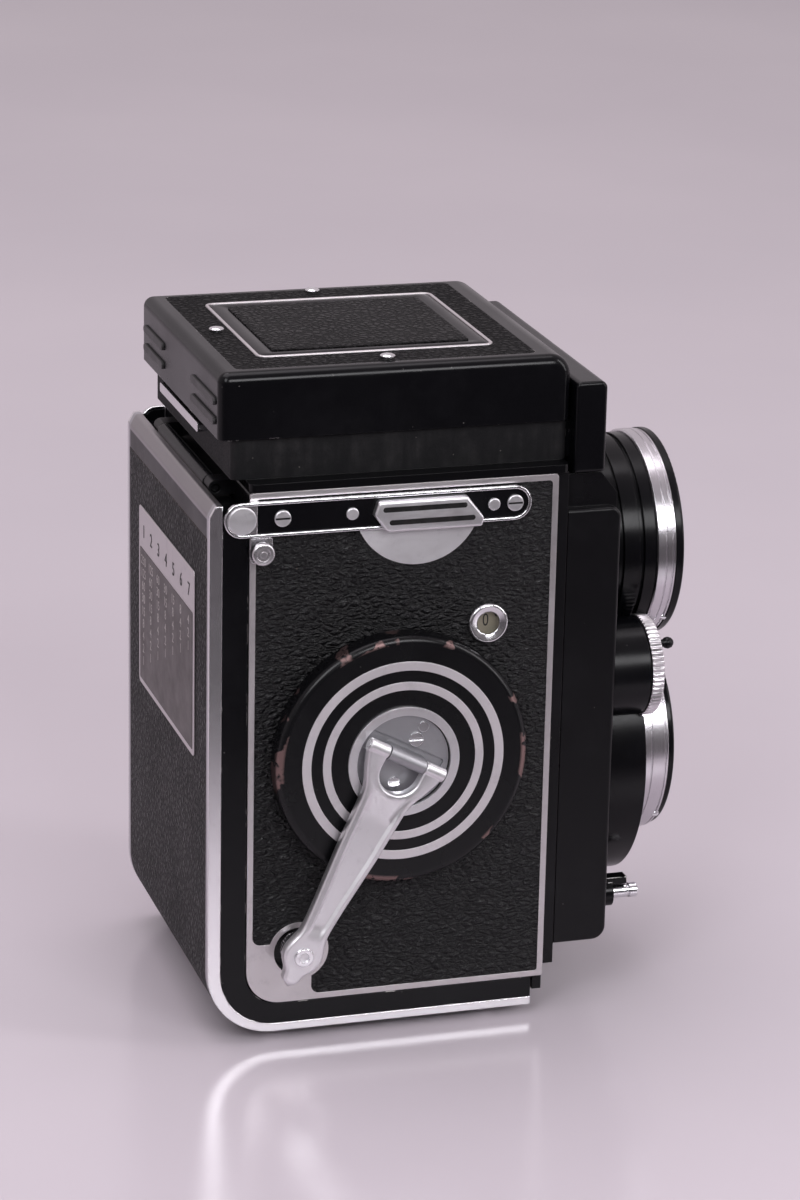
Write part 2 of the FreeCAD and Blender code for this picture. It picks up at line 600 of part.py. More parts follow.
def crank_disc():
    disc = rod("x", out(DISC_TOP), out(DISC_LOW), CRANK_Y, CRANK_Z, DISC_R)
    disc = softened(disc, 1.6, lambda c: c.x < out(DISC_TOP - 0.1))
    well = rod("x", out(DISC_TOP), out(WELL_TOP), CRANK_Y, CRANK_Z, RIM_R)
    bore = rod("x", out(DISC_TOP), out(DISC_LOW), CRANK_Y, CRANK_Z, 3.0)
    return disc.cut([well, bore] + ring_solids())


def ring_solids():
    return [tube("x", out(DISC_TOP + 0.15), out(DISC_TOP - 0.5), CRANK_Y, CRANK_Z, outer, inner)
            for outer, inner in ((21.95, 20.0), (17.5, 15.7))]


def crank_rim():
    return tube("x", out(5.6), out(WELL_TOP), CRANK_Y, CRANK_Z, RIM_R, RIM_IN)


def hub_plate():
    """The satin plate in the crank's middle, with the middle knuckle of the arm's hinge."""
    disc = rod("x", out(4.6), out(WELL_TOP), CRANK_Y, CRANK_Z, RIM_IN)
    groove = crank_prism(3.9, 4.7, [(-2.6, -9.0), (1.8, -9.0), (1.8, 9.0), (-2.6, 9.0)], [0.6] * 4)
    across = KNUCKLE_SPLIT - 0.1
    block = crank_prism(3.5, ARM_RISE, [(-KNUCKLE_R, -across), (KNUCKLE_R, -across), (KNUCKLE_R, across),
                                        (-KNUCKLE_R, across)], [0] * 4)
    knuckle = join(block, crank_rod(-across, across, ARM_RISE, KNUCKLE_R))
    whole = join(disc.cut(groove), knuckle)
    return whole.cut([crank_rod(-across, across, ARM_RISE, HINGE_PIN_R)] + hub_holes())


def hub_holes():
    holes = []
    for along, across, radius in HUB_SCREWS:
        middle = crank_place(along, across, 4.0)
        holes.append(rod("x", out(4.6), out(4.0), middle.y, middle.z, radius))
    return holes


def hub_fasteners():
    """The brass hinge pin and the screws and rivet of the hub plate."""
    pieces = [crank_rod(-KNUCKLE_END - 0.1, KNUCKLE_END + 0.1, ARM_RISE, HINGE_PIN_R)]
    for along, across, radius in HUB_SCREWS:
        middle = crank_place(along, across, 4.0)
        head = rod("x", out(4.9), out(4.0), middle.y, middle.z, radius)
        if radius > SLOTTED_R:
            head = head.cut(box(out(4.9), out(4.6), middle.y - 2, middle.y + 2, middle.z - 0.25, middle.z + 0.25))
        pieces.append(head)
    return pieces


def crank_shaft_gear():
    """The crank's shaft with the wheel that drives the film."""
    wheel = gear(CRANK_TEETH, -35.6, -34.4, CRANK_Y, CRANK_Z, TAKE_UP_DIRECTION, False)
    shaft = rod("x", out(WELL_TOP), -34.4, CRANK_Y, CRANK_Z, 3.0)
    journal = rod("x", -34.4, -30.4, CRANK_Y, CRANK_Z, 2.0)
    return join(wheel, shaft, journal)


def crank_arm():
    """The folding arm: a forked root on the pin, a tapering blade and a blunt nib past the pivot."""
    low, high = ARM_RISE - ARM_THICK / 2, ARM_RISE + ARM_THICK / 2
    edge = [(0, KNUCKLE_END), (3.0, 8.7), (9.0, 5.4), (21.0, 4.7), (36.0, 3.1), (ARM_REACH - 3.0, 3.2)]
    points = edge + [(along, -across) for along, across in reversed(edge)]
    blade = crank_prism(low, high, points, [0, 3.0, 6.0, 30.0, 20.0, 0, 0, 20.0, 30.0, 6.0, 3.0, 0])
    nib = crank_prism(low, high, [(ARM_REACH, -3.2), (ARM_TIP, -1.6), (ARM_TIP, 1.6), (ARM_REACH, 3.2)],
                      [0, 1.3, 1.3, 0])
    pivot = crank_place(ARM_REACH, 0, low)
    head = rod("x", out(high), out(low), pivot.y, pivot.z, 4.3)
    fork = crank_place(3.2, 0, low)
    notch = rod("x", out(high + 0.5), out(low - 0.5), fork.y, fork.z, KNUCKLE_SPLIT + 0.1)
    inner = KNUCKLE_SPLIT + 0.1
    throat = crank_prism(low - 0.5, high + 0.5, [(-2.5, -inner), (3.2, -inner), (3.2, inner), (-2.5, inner)],
                         [0] * 4)
    knuckles = [crank_rod(start, end, ARM_RISE, KNUCKLE_R)
                for start, end in ((inner, KNUCKLE_END), (-KNUCKLE_END, -inner))]
    bore = rod("x", out(high), out(low), pivot.y, pivot.z, 1.2 + RUNNING)
    pin_bore = crank_rod(-KNUCKLE_END, KNUCKLE_END, ARM_RISE, HINGE_PIN_R + RUNNING)
    return join(blade, nib, head, *knuckles).cut([notch, throat, bore, pin_bore])


def crank_knob():
    """The winding knob under the arm's end, turning on its rivet."""
    pivot = crank_place(ARM_REACH, 0, 0)
    top = ARM_RISE - ARM_THICK / 2 - 0.15
    face = ARM_RISE + ARM_THICK / 2 + 0.1
    grip = rod("x", out(top), out(3.2), pivot.y, pivot.z, 3.8)
    end = rod("x", out(3.2), out(0.5), pivot.y, pivot.z, 2.5)
    stem = rod("x", out(face), out(top), pivot.y, pivot.z, 1.2)
    head = rod("x", out(face + 0.5), out(face), pivot.y, pivot.z, 2.0)
    return join(grip, end, stem, head)


# ---- film transport -----------------------------------------------------------------------------
def take_up_gear():
    """The wheel that turns the take-up spool, with its drive key."""
    wheel = gear(TAKE_UP_TEETH, -35.6, -34.4, TAKE_UP_Y, TAKE_UP_Z, TAKE_UP_DIRECTION + math.pi, True)
    shaft = rod("x", -34.4, -SPOOL_HALF, TAKE_UP_Y, TAKE_UP_Z, 3.0)
    key = box(-SPOOL_HALF, -29.8, TAKE_UP_Y - 0.7, TAKE_UP_Y + 0.7, TAKE_UP_Z - 2.4, TAKE_UP_Z + 2.4)
    return join(wheel, shaft, key)


def take_up_spool():
    """The empty spool that the film is wound on to."""
    core = rod("x", -SPOOL_HALF + 0.9, SPOOL_HALF - 0.9, TAKE_UP_Y, TAKE_UP_Z, SPOOL_CORE)
    flanges = [rod("x", x, x + 0.9, TAKE_UP_Y, TAKE_UP_Z, SPOOL_R) for x in (-SPOOL_HALF, SPOOL_HALF - 0.9)]
    key_slot = box(-SPOOL_HALF, -29.7, TAKE_UP_Y - 0.75, TAKE_UP_Y + 0.75, TAKE_UP_Z - 2.5, TAKE_UP_Z + 2.5)
    pin_bore = rod("x", 28.5, SPOOL_HALF, TAKE_UP_Y, TAKE_UP_Z, 2.4 + RUNNING)
    film_slot = box(-30.5, 26.5, TAKE_UP_Y - SPOOL_CORE, TAKE_UP_Y + SPOOL_CORE, TAKE_UP_Z - 0.8, TAKE_UP_Z + 0.8)
    return join(core, *flanges).cut([key_slot, pin_bore, film_slot])


def spool_knob(y, z, inner_end):
    """A knob that is pulled out to let a spool in or out, on its holding pin."""
    grip = rod("x", HALF_WIDTH + GAP, HALF_WIDTH + 6.5, y, z, 7.2)
    grip = softened(grip, 0.8, lambda c: c.x > HALF_WIDTH + 6)
    return join(grip, rod("x", inner_end, HALF_WIDTH + GAP, y, z, 2.4))


# ---- focusing and the lens standard -------------------------------------------------------------
def focus_knob():
    """The focusing knob on its shaft, with the distance dial round its foot."""
    dial = rod("x", HALF_WIDTH + GAP, HALF_WIDTH + 3.0, FOCUS_Y, FOCUS_Z, FOCUS_R)
    dial = softened(dial, 1.0, lambda c: c.x > HALF_WIDTH + 2.9)
    grip = rod("x", HALF_WIDTH + 3.0, HALF_WIDTH + 15.5, FOCUS_Y, FOCUS_Z, 14.5)
    grip = softened(grip, 1.2, lambda c: c.x > HALF_WIDTH + 15)
    shaft = rod("x", POCKET_FLOOR + GAP, HALF_WIDTH + GAP, FOCUS_Y, FOCUS_Z, 3.0)
    journal = rod("x", 30.4, POCKET_FLOOR + GAP, FOCUS_Y, FOCUS_Z, 2.0)
    return join(dial, grip, shaft, journal)


def lens_standard():
    """The front panel that carries both lenses and slides out to focus."""
    panel = prism("x", -STANDARD_HALF, STANDARD_HALF, [
        (STANDARD_GAP_Y, STANDARD_LOW), (STANDARD_FRONT, STANDARD_LOW), (STANDARD_FRONT, STANDARD_TOP),
        (STANDARD_GAP_Y, STANDARD_TOP)], [0, 3.0, 2.4, 0])
    panel = softened(panel, 0.8, lambda c: abs(c.x) > STANDARD_HALF - 0.1 and c.y < STANDARD_GAP_Y - 0.1)
    crown_half = 34.6
    crown = prism("x", -crown_half, crown_half, [
        (STANDARD_GAP_Y, STANDARD_TOP - 4), (-51.4, STANDARD_TOP - 4), (-51.4, 114.2), (-47.6, 118.9),
        (STANDARD_GAP_Y, 118.9)])
    holes = [rod("y", STANDARD_FRONT, STANDARD_GAP_Y, 0, z, TUBE_R) for z in (VIEW_Z, TAKE_Z)]
    release_bore = rod("y", STANDARD_FRONT, -44.5, RELEASE_X, RELEASE_Z, RELEASE_R + RUNNING)
    return join(panel, crown).cut(holes + [release_bore])


def viewing_barrel():
    """The upper lens's barrel, with a step and a groove behind the bright ring."""
    barrel = join(rod("y", STANDARD_FRONT, STEP_Y, 0, VIEW_Z, VIEW_R - 0.7),
                  rod("y", STEP_Y, VIEW_RING_BACK, 0, VIEW_Z, VIEW_R),
                  rod("y", STANDARD_FRONT, -43.0, 0, VIEW_Z, TUBE_R))
    groove = tube("y", *GROOVE, 0, VIEW_Z, VIEW_R, VIEW_R - 0.8)
    return barrel.cut([rod("y", -43.0, VIEW_RING_BACK, 0, VIEW_Z, VIEW_BORE), groove])


def shutter_housing():
    """The big round housing of the lower lens, with a lobe and a recess for each setting wheel."""
    places = (-WHEEL_X, WHEEL_X)
    lobes = [rod("y", STANDARD_FRONT, LOBE_FRONT, x, WHEEL_Z, LOBE_R) for x in places]
    housing = join(rod("y", STANDARD_FRONT, HOUSING_FRONT, 0, TAKE_Z, HOUSING_R), *lobes,
                   rod("y", HOUSING_FRONT, TAKE_RING_BACK, 0, TAKE_Z, TAKE_R),
                   rod("y", STANDARD_FRONT, -43.0, 0, TAKE_Z, TUBE_R))
    recesses = [rod("y", LOBE_FRONT, HOUSING_FRONT, x, WHEEL_Z, WHEEL_R + GAP) for x in places]
    bores = [rod("y", LOBE_FRONT, -56.5, x, WHEEL_Z, 1.5 + RUNNING) for x in places]
    return housing.cut([rod("y", STANDARD_FRONT, STEP_Y, 0, VIEW_Z, VIEW_R - 0.7),
                        rod("y", STEP_Y, VIEW_RING_BACK, 0, VIEW_Z, VIEW_R + 0.1),
                        rod("y", -43.0, TAKE_RING_BACK, 0, TAKE_Z, TAKE_BORE)] + recesses + bores)


def bayonet_ring(z, back, front, outer, inner):
    """A bright ring with three bayonet lugs inside its front."""
    ring = tube("y", back, front, 0, z, outer, inner)
    lug = tube("y", front, front + 1.5, 0, z, inner + 0.2, inner - 1.0)
    sector = prism("y", front, front + 1.5, [(0, z), (30, z - 9), (30, z + 9)])
    lug = lug.common(sector)
    return join(ring, *[turned(lug, "y", angle, 0, z) for angle in (30, 150, 270)])


def lens_rim(z, back, front, outer, inner):
    """The black rim in front of a bright ring, coned inside towards the glass."""
    rim = rod("y", back, front, 0, z, outer)
    rim = softened(rim, 0.6, lambda c: c.y < front + 0.1)
    return rim.cut([cone("y", front, back, 0, z, inner + 1.2, inner)])


def lens_glass(z, radius, crown):
    """A front element: a flat back and a gently domed front."""
    back, edge = -60.5, -63.0
    dome_r = (radius ** 2 + (edge - crown) ** 2) / (2 * (edge - crown))
    ball = Part.makeSphere(dome_r, Vector(0, crown + dome_r, z))
    return ball.common(rod("y", back, crown - 1, 0, z, radius))


def shutter_blades():
    """Five thin blades, stacked, that close the way through the lower lens."""
    blades = []
    for i in range(5):
        back = -48.0 - 0.35 * i
        blade = rod("y", back - 0.15, back, 0, TAKE_Z, 13.0).cut(rod("y", back - 0.15, back, 3.4, TAKE_Z, 9.0))
        blade = blade.common(box(-13, 0.5, back - 0.2, back + 0.1, TAKE_Z - 13, TAKE_Z + 13))
        blades.append(turned(blade, "y", 72 * i, 0, TAKE_Z))
    return blades


def setting_wheel(side):
    """A knurled setting wheel between the lenses, with a small ball-ended lever on its front."""
    x = side * WHEEL_X
    wheel = rod("y", WHEEL_BACK, WHEEL_FRONT, x, WHEEL_Z, WHEEL_R)
    wheel = softened(wheel, 0.5, lambda c: c.y < WHEEL_FRONT + 0.1)
    shaft = rod("y", WHEEL_BACK, -56.8, x, WHEEL_Z, 1.5)
    lever_x, lever_z = x + side * LEVER_OUT, WHEEL_Z + LEVER_UP
    post = rod("y", WHEEL_FRONT, LEVER_Y, lever_x, lever_z, 0.8)
    ball = Part.makeSphere(1.3, Vector(lever_x, LEVER_Y, lever_z))
    return join(wheel, shaft, post, ball)


def release_button():
    """The shutter release, a plain rod that is pressed straight in."""
    button = rod("y", -49.0, -61.9, RELEASE_X, RELEASE_Z, RELEASE_R)
    return softened(button, 0.4, lambda c: c.y < -61.8)


def release_lock():
    """The turning collar that locks the release, with its tab."""
    collar = tube("y", STANDARD_FRONT - 0.2, -55.6, RELEASE_X, RELEASE_Z, 3.0, RELEASE_R + RUNNING)
    tab = box(RELEASE_X - 1.4, RELEASE_X + 1.4, -59.0, -54.2, RELEASE_Z + 2.2, RELEASE_Z + 3.8)
    return join(collar, tab)


# ---- the focusing hood --------------------------------------------------------------------------
def lid_profile(x0, x1, inset):
    """The lid's side outline: square at the rear, and rounded about its hinge line at the front."""
    nose = LID_NOSE_R - inset
    centre = Vector(x0, LID_HINGE_Y, LID_HINGE_Z)
    top = centre + Vector(0, 0, nose)
    front = centre + Vector(0, -nose, 0)
    crown = centre + Vector(0, -nose * math.sqrt(0.5), nose * math.sqrt(0.5))
    rear_top = Vector(x0, LID_REAR - inset, LID_HINGE_Z + nose)
    rear_low = Vector(x0, LID_REAR - inset, LID_LOW)
    front_low = Vector(x0, LID_HINGE_Y - nose, LID_LOW)
    wire = Part.Wire([Part.Arc(front, crown, top).toShape(),
                      Part.LineSegment(top, rear_top).toShape(),
                      Part.LineSegment(rear_top, rear_low).toShape(),
                      Part.LineSegment(rear_low, front_low).toShape(),
                      Part.LineSegment(front_low, front).toShape()])
    return Part.Face(wire).extrude(Vector(x1 - x0, 0, 0))


def hood_lid():
    """The deep lid that covers the folded hood."""
    lid = lid_profile(-LID_HALF, LID_HALF, 0)
    lid = softened(lid, 2.2, lambda c: (c.z > LID_TOP - 0.1 and (abs(c.x) > 34 or c.y > 34))
                   or (abs(c.x) > 34 and c.y > 34) or (abs(c.x) > 34 and c.z > LID_HINGE_Z and c.y < -36))
    inner = lid_profile(-LID_HALF + 1.2, LID_HALF - 1.2, 1.4)
    front = box(-LID_HALF + 1.2, LID_HALF - 1.2, -42, -36, LID_LOW, LID_HINGE_Z)
    inset = lid_inset(LID_TOP - 0.4, LID_TOP)
    return lid.cut([inner, front, inset])


def lid_inset(z0, z1):
    """The sunk field on top of the lid that the leather lies in."""
    return plate("z", z0, z1, -31.4, 31.4, -33.6, 30.6, 1.5)


def lid_frame_solid(z0, z1):
    x0, x1, y0, y1 = FRAME
    inner = plate("z", z0, z1, x0 + 1.0, x1 - 1.0, y0 + 1.0, y1 - 1.0, 1.2)
    return plate("z", z0, z1, x0, x1, y0, y1, 2.0).cut(inner)


def lid_leather():
    x0, x1, y0, y1 = FRAME
    return lid_inset(LID_TOP - 0.4, LID_TOP).cut(plate("z", LID_TOP - 0.4, LID_TOP, x0, x1, y0, y1, 2.0))


def finder_panel():
    """The middle panel of the lid, which opens the frame finder on the real thing."""
    x0, x1, y0, y1 = FRAME
    return plate("z", LID_TOP - 0.4, LID_TOP + 0.1, x0 + 1.2, x1 - 1.2, y0 + 1.2, y1 - 1.2, 1.2)


def lid_bright_trim():
    """The bright frame on the lid and the three small studs."""
    studs = [rod("z", LID_TOP, LID_TOP + 1.0, x, y, 1.5) for x, y in ((-29.0, -2.1), (29.0, -2.1), (0.0, 26.8))]
    return [lid_frame_solid(LID_TOP - 0.4, LID_TOP + 0.25)] + studs


def hood_side_panel():
    """The folding panel of the crank side: slanted at the rear, cut back at the front."""
    width = PANEL_X - 0.3
    points = [(-PANEL_X - 0.3, -34.2), (-PANEL_X + 13.0, -34.2), (-PANEL_X + width, -24.0),
              (-PANEL_X + width, REAR_PANEL_Y - 1.0 - width), (-PANEL_X, REAR_PANEL_Y - 1.0),
              (-PANEL_X - 0.3, REAR_PANEL_Y - 1.0)]
    return prism("z", PANEL_Z - PANEL_THICK / 2, PANEL_Z + PANEL_THICK / 2, points)


def hood_rear_panel():
    return box(-30.8, 30.8, REAR_PANEL_Y - 28.0, REAR_PANEL_Y, REAR_PANEL_Z - PANEL_THICK / 2,
               REAR_PANEL_Z + PANEL_THICK / 2)


def hood_catch():
    return plate("y", 33.0, 35.0, -16.8, 16.8, 127.6, 129.6, 0.6)


def magnifier():
    """The folded focusing magnifier on its bracket under the lid."""
    bracket = box(-15.0, 15.0, -4.0, 24.0, LID_TOP - 2.6, LID_TOP - 1.4)
    ring = tube("z", 138.0, LID_TOP - 1.4, 0, 10.0, 13.0, 11.0)
    window = rod("z", LID_TOP - 2.6, LID_TOP - 1.4, 0, 10.0, 11.0)
    return join(bracket.cut(window), ring)


def magnifier_lens():
    ball = Part.makeSphere(30.0, Vector(0, 10.0, 138.6 + 30.0))
    return ball.common(rod("z", 138.0, 141.6, 0, 10.0, 11.0))


# ---- write every sub-part -----------------------------------------------------------------------
os.makedirs("parts", exist_ok=True)

export("body_casting", body_casting())
export("side_covers", side_cover_crank_side(), side_cover_focus_side())
export("side_trim_frames", *side_trim_frames())
export("side_leathers", *side_leathers())
export("strap_lug_bars", *strap_lug_bars(), *strap_backplates())
export("strap_bridges", *strap_bridges())
export("side_screws", *side_screws())
export("counter_bezel", counter_bezel())
export("counter_glass", counter_glass())
export("nameplate_block", nameplate_block())
export("hood_base", hood_base())
export("focusing_screen", focusing_screen())
export("reflex_mirror", reflex_mirror())
export("upper_film_roller", film_roller(UPPER_ROLLER))
export("lower_film_roller", film_roller(LOWER_ROLLER))
export("counter_dial", counter_dial())
export("exposure_button", exposure_button())

export("back_door", back_door())
export("door_edge_trim", door_edge_trim())
export("door_leather", door_leather())
export("exposure_table", exposure_table())
export("pressure_plate", pressure_plate())
export("pressure_springs", *pressure_springs())
export("feet", *feet())
export("tripod_bush", tripod_bush())
export("door_latch", door_latch())

export("crank_disc", crank_disc())
export("crank_rings", *ring_solids())
export("crank_rim", crank_rim())
export("crank_hub_plate", hub_plate())
export("crank_fasteners", *hub_fasteners())
export("crank_shaft_gear", crank_shaft_gear())
export("crank_arm", crank_arm())
export("crank_knob", crank_knob())

export("take_up_gear", take_up_gear())
export("take_up_spool", take_up_spool())
export("supply_spool_knob", spool_knob(SUPPLY_Y, SUPPLY_Z, 30.6))
export("take_up_spool_knob", spool_knob(TAKE_UP_Y, TAKE_UP_Z, 29.0))

export("focus_knob", focus_knob())
export("lens_standard", lens_standard())
export("viewing_barrel", viewing_barrel())
export("shutter_housing", shutter_housing())
export("bayonet_rings", bayonet_ring(VIEW_Z, VIEW_RING_BACK, VIEW_RING_FRONT, VIEW_RING_R, 18.0),
       bayonet_ring(TAKE_Z, TAKE_RING_BACK, TAKE_RING_FRONT, TAKE_RING_R, 17.0))
export("lens_rims", lens_rim(VIEW_Z, VIEW_RING_FRONT, VIEW_RIM_FRONT, VIEW_RIM_R, 16.5),
       lens_rim(TAKE_Z, TAKE_RING_FRONT, TAKE_RIM_FRONT, TAKE_RIM_R, 15.5))
export("lens_glasses", lens_glass(VIEW_Z, VIEW_BORE, -66.6), lens_glass(TAKE_Z, TAKE_BORE, -66.2))
export("shutter_blades", *shutter_blades())
export("speed_wheel", setting_wheel(-1))
export("aperture_wheel", setting_wheel(1))
export("release_button", release_button())
export("release_lock", release_lock())

export("hood_lid", hood_lid())
export("lid_leather", lid_leather())
export("finder_panel", finder_panel())
export("lid_bright_trim", *lid_bright_trim())
export("hood_panel_crank_side", hood_side_panel())
export("hood_panel_focus_side", mirrored(hood_side_panel()))
export("hood_panel_rear", hood_rear_panel())
export("hood_catch", hood_catch())
export("magnifier", magnifier())
export("magnifier_lens", magnifier_lens())
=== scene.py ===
import json
import math

import bmesh
import bpy
from mathutils import Matrix, Vector
from mathutils.geometry import delaunay_2d_cdt


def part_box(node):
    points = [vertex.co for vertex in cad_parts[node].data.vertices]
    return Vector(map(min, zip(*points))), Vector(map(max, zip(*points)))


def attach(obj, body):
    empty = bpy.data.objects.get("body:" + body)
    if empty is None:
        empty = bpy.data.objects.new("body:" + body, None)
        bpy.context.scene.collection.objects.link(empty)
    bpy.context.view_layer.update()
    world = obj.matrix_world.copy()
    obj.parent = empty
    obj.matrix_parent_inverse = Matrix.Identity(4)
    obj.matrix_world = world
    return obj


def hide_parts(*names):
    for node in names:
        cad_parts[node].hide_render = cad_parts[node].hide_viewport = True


# The looks of a twin lens reflex camera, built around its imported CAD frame.
# Sizes are in millimetres and are turned into metres when a mesh is made.

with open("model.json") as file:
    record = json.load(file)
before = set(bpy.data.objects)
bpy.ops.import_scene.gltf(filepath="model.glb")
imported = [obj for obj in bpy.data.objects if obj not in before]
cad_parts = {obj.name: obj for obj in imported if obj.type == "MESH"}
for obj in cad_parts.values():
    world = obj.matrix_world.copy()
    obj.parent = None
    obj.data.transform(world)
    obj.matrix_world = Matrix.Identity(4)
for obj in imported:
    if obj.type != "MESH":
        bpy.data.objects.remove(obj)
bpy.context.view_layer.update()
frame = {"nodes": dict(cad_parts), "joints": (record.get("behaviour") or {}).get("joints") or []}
MM = 0.001
JOINTS = {joint["name"]: joint for joint in frame["joints"]}


# ---- places, from the frame ---------------------------------------------------------------------
def low(node):
    """The lowest corner of a CAD node, in millimetres."""
    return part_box(node)[0] / MM


def high(node):
    """The highest corner of a CAD node, in millimetres."""
    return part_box(node)[1] / MM


def middle(node):
    """The middle of a CAD node's box, in millimetres."""
    return (low(node) + high(node)) / 2


def pivot(joint):
    """The place of a joint, in millimetres."""
    return Vector(JOINTS[joint]["pos_m"]) / MM


LEATHER_X = low("side_leathers").x      # leather face of the crank side
HOUSING_LOBE_Y = -60.6                  # face of the housing behind the setting wheels
CRANK = middle("crank_rim")
HINGE = pivot("arm_unfold")
ACROSS = Vector(JOINTS["arm_unfold"]["axis"]).normalized()
if ACROSS.y < 0:
    ACROSS = -ACROSS
AHEAD = Vector((0, ACROSS.z, -ACROSS.y))    # from the hinge of the arm towards its knob
KNOB = pivot("crank_knob_spin")
VIEW_Z = (low("viewing_barrel").z + high("viewing_barrel").z) / 2
TAKE_Z = middle("shutter_blades").z
LID_REAR = high("hood_lid").y


def above(height, side=-1):
    """The X of a height above a side's leather; side -1 is the crank's side."""
    return side * (height - LEATHER_X)


# ---- materials ----------------------------------------------------------------------------------
class Look:
    """One procedural material, built up node by node. Texture scales are in features per millimetre."""

    def __init__(self, name, **settings):
        self.material = bpy.data.materials.new(name)
        self.material.use_nodes = True
        self.tree = self.material.node_tree
        self.tree.nodes.clear()
        self.shader = self.add("ShaderNodeBsdfPrincipled")
        output = self.add("ShaderNodeOutputMaterial")
        self.join(self.shader.outputs[0], output.inputs["Surface"])
        self.place = self.add("ShaderNodeTexCoord").outputs["Object"]
        self.rounded = None
        self.set(**settings)

    def add(self, kind, **settings):
        node = self.tree.nodes.new(kind)
        for key, value in settings.items():
            setattr(node, key, value)
        return node

    def join(self, source, socket):
        if isinstance(source, bpy.types.NodeSocket):
            self.tree.links.new(source, socket)
        elif socket.type == "RGBA":
            socket.default_value = (*source[:3], 1)
        else:
            socket.default_value = source

    def set(self, **settings):
        """Values or textures for the shader's sockets; an underscore stands for a space."""
        for key, value in settings.items():
            self.join(value, self.shader.inputs[key.replace("_", " ").title().replace("Ior", "IOR")])

    def vector(self, operation, *inputs):
        """One step of vector maths; a length or a dot product comes out as a value."""
        node = self.add("ShaderNodeVectorMath", operation=operation)
        for value, socket in zip(inputs, node.inputs):
            self.join(value, socket)
        return node.outputs["Value" if operation in ("LENGTH", "DOT_PRODUCT") else "Vector"]

    def stretched(self, x, y, z):
        return self.vector("MULTIPLY", self.place, (x, y, z))

    def texture(self, kind, per_mm, place, **settings):
        node = self.add(kind, **settings)
        self.join(place or self.place, node.inputs["Vector"])
        node.inputs["Scale"].default_value = per_mm / MM
        return node

    def warped(self, per_mm, amount, place):
        """The place moved about by noise, so that a regular texture looks grown."""
        noise = self.texture("ShaderNodeTexNoise", per_mm, place)
        return self.vector("MULTIPLY_ADD", noise.outputs["Color"], (amount * MM,) * 3, place)

    def noise(self, per_mm, place=None, detail=3.0, roughness=0.55):
        node = self.texture("ShaderNodeTexNoise", per_mm, place)
        node.inputs["Detail"].default_value = detail
        node.inputs["Roughness"].default_value = roughness
        return node.outputs["Fac"]

    def cells(self, per_mm, place=None, feature="F1"):
        return self.texture("ShaderNodeTexVoronoi", per_mm, place, feature=feature).outputs["Distance"]

    def fit(self, value, from_low, from_high, to_low=0.0, to_high=1.0, smooth=False):
        node = self.add("ShaderNodeMapRange")
        node.interpolation_type = "SMOOTHSTEP" if smooth else "LINEAR"
        self.join(value, node.inputs["Value"])
        ends = {"From Min": from_low, "From Max": from_high, "To Min": to_low, "To Max": to_high}
        for key, number in ends.items():
            node.inputs[key].default_value = number
        return node.outputs["Result"]

    def maths(self, operation, a, b):
        node = self.add("ShaderNodeMath", operation=operation)
        self.join(a, node.inputs[0])
        self.join(b, node.inputs[1])
        return node.outputs[0]

    def times(self, a, b):
        return self.maths("MULTIPLY", a, b)

    def plus(self, a, b):
        return self.maths("ADD", a, b)

    def mixed(self, share, a, b):
        node = self.add("ShaderNodeMix", data_type="RGBA")
        self.join(share, node.inputs["Factor"])
        colours = [socket for socket in node.inputs if socket.type == "RGBA"]
        self.join(a, colours[0])
        self.join(b, colours[1])
        return [socket for socket in node.outputs if socket.type == "RGBA"][0]

    def axis(self, name):
        split = self.add("ShaderNodeSeparateXYZ")
        self.join(self.place, split.inputs[0])
        return split.outputs[name.upper()]

    def distance(self, centre, keep):
        """How far a point is from a centre in millimetres, counting only the kept axes."""
        away = self.vector("SUBTRACT", self.place, Vector(centre) * MM)
        flat = self.vector("MULTIPLY", away, [1 / MM if name in keep else 0 for name in "xyz"])
        return self.vector("LENGTH", flat)

    def softened(self, radius):
        """The surface's direction with its edges rounded off."""
        node = self.add("ShaderNodeBevel", samples=4)
        node.inputs["Radius"].default_value = radius * MM
        return node.outputs["Normal"]

    def round_edges(self, radius):
        """Shades every edge as if it were rounded."""
        self.rounded = self.softened(radius)

    def edges(self, radius):
        """Nearly 1 on an edge, 0 on a flat or gently curved place."""
        plain = self.add("ShaderNodeNewGeometry").outputs["Normal"]
        return self.fit(self.vector("DOT_PRODUCT", self.softened(radius), plain), 0.99, 0.86, smooth=True)

    def bump(self, height, depth, strength=1.0):
        """Height textures go from 0 to 1, and depth is in millimetres."""
        node = self.add("ShaderNodeBump")
        node.inputs["Strength"].default_value = strength
        node.inputs["Distance"].default_value = depth * MM
        self.join(height, node.inputs["Height"])
        if self.rounded:
            self.join(self.rounded, node.inputs["Normal"])
        self.join(node.outputs["Normal"], self.shader.inputs["Normal"])


def gloss_paint(name, colour=(0.0022, 0.0022, 0.003), roughness=0.16, chips=0.0, metal=(0.55, 0.53, 0.52)):
    """Black enamel: faint orange peel, hand smears, dust, and metal where an edge has worn through."""
    look = Look(name)
    look.round_edges(0.3)
    smears = look.fit(look.noise(0.035, detail=5), 0.35, 0.7, roughness, roughness + 0.12)
    dust = look.fit(look.cells(0.22), 0.035, 0.02)
    haze = look.fit(look.noise(0.05, detail=6, roughness=0.7), 0.5, 0.8, 0, 0.08)
    tone = look.mixed(haze, colour, (0.045, 0.045, 0.05))
    tone = look.mixed(look.times(dust, 0.35), tone, (0.25, 0.24, 0.23))
    look.set(specular_ior_level=0.22)
    if chips:
        broken = look.fit(look.noise(0.16, detail=6, roughness=0.65), 0.62 - chips, 0.64 - chips)
        bare = look.times(broken, look.fit(look.edges(0.35), 0.45, 0.6))
        tone = look.mixed(bare, tone, metal)
        look.set(metallic=bare)
        smears = look.plus(smears, look.times(bare, 0.15))
    look.set(base_color=tone, roughness=smears)
    look.bump(look.noise(0.9, detail=2), 0.02, 0.25)
    return look.material


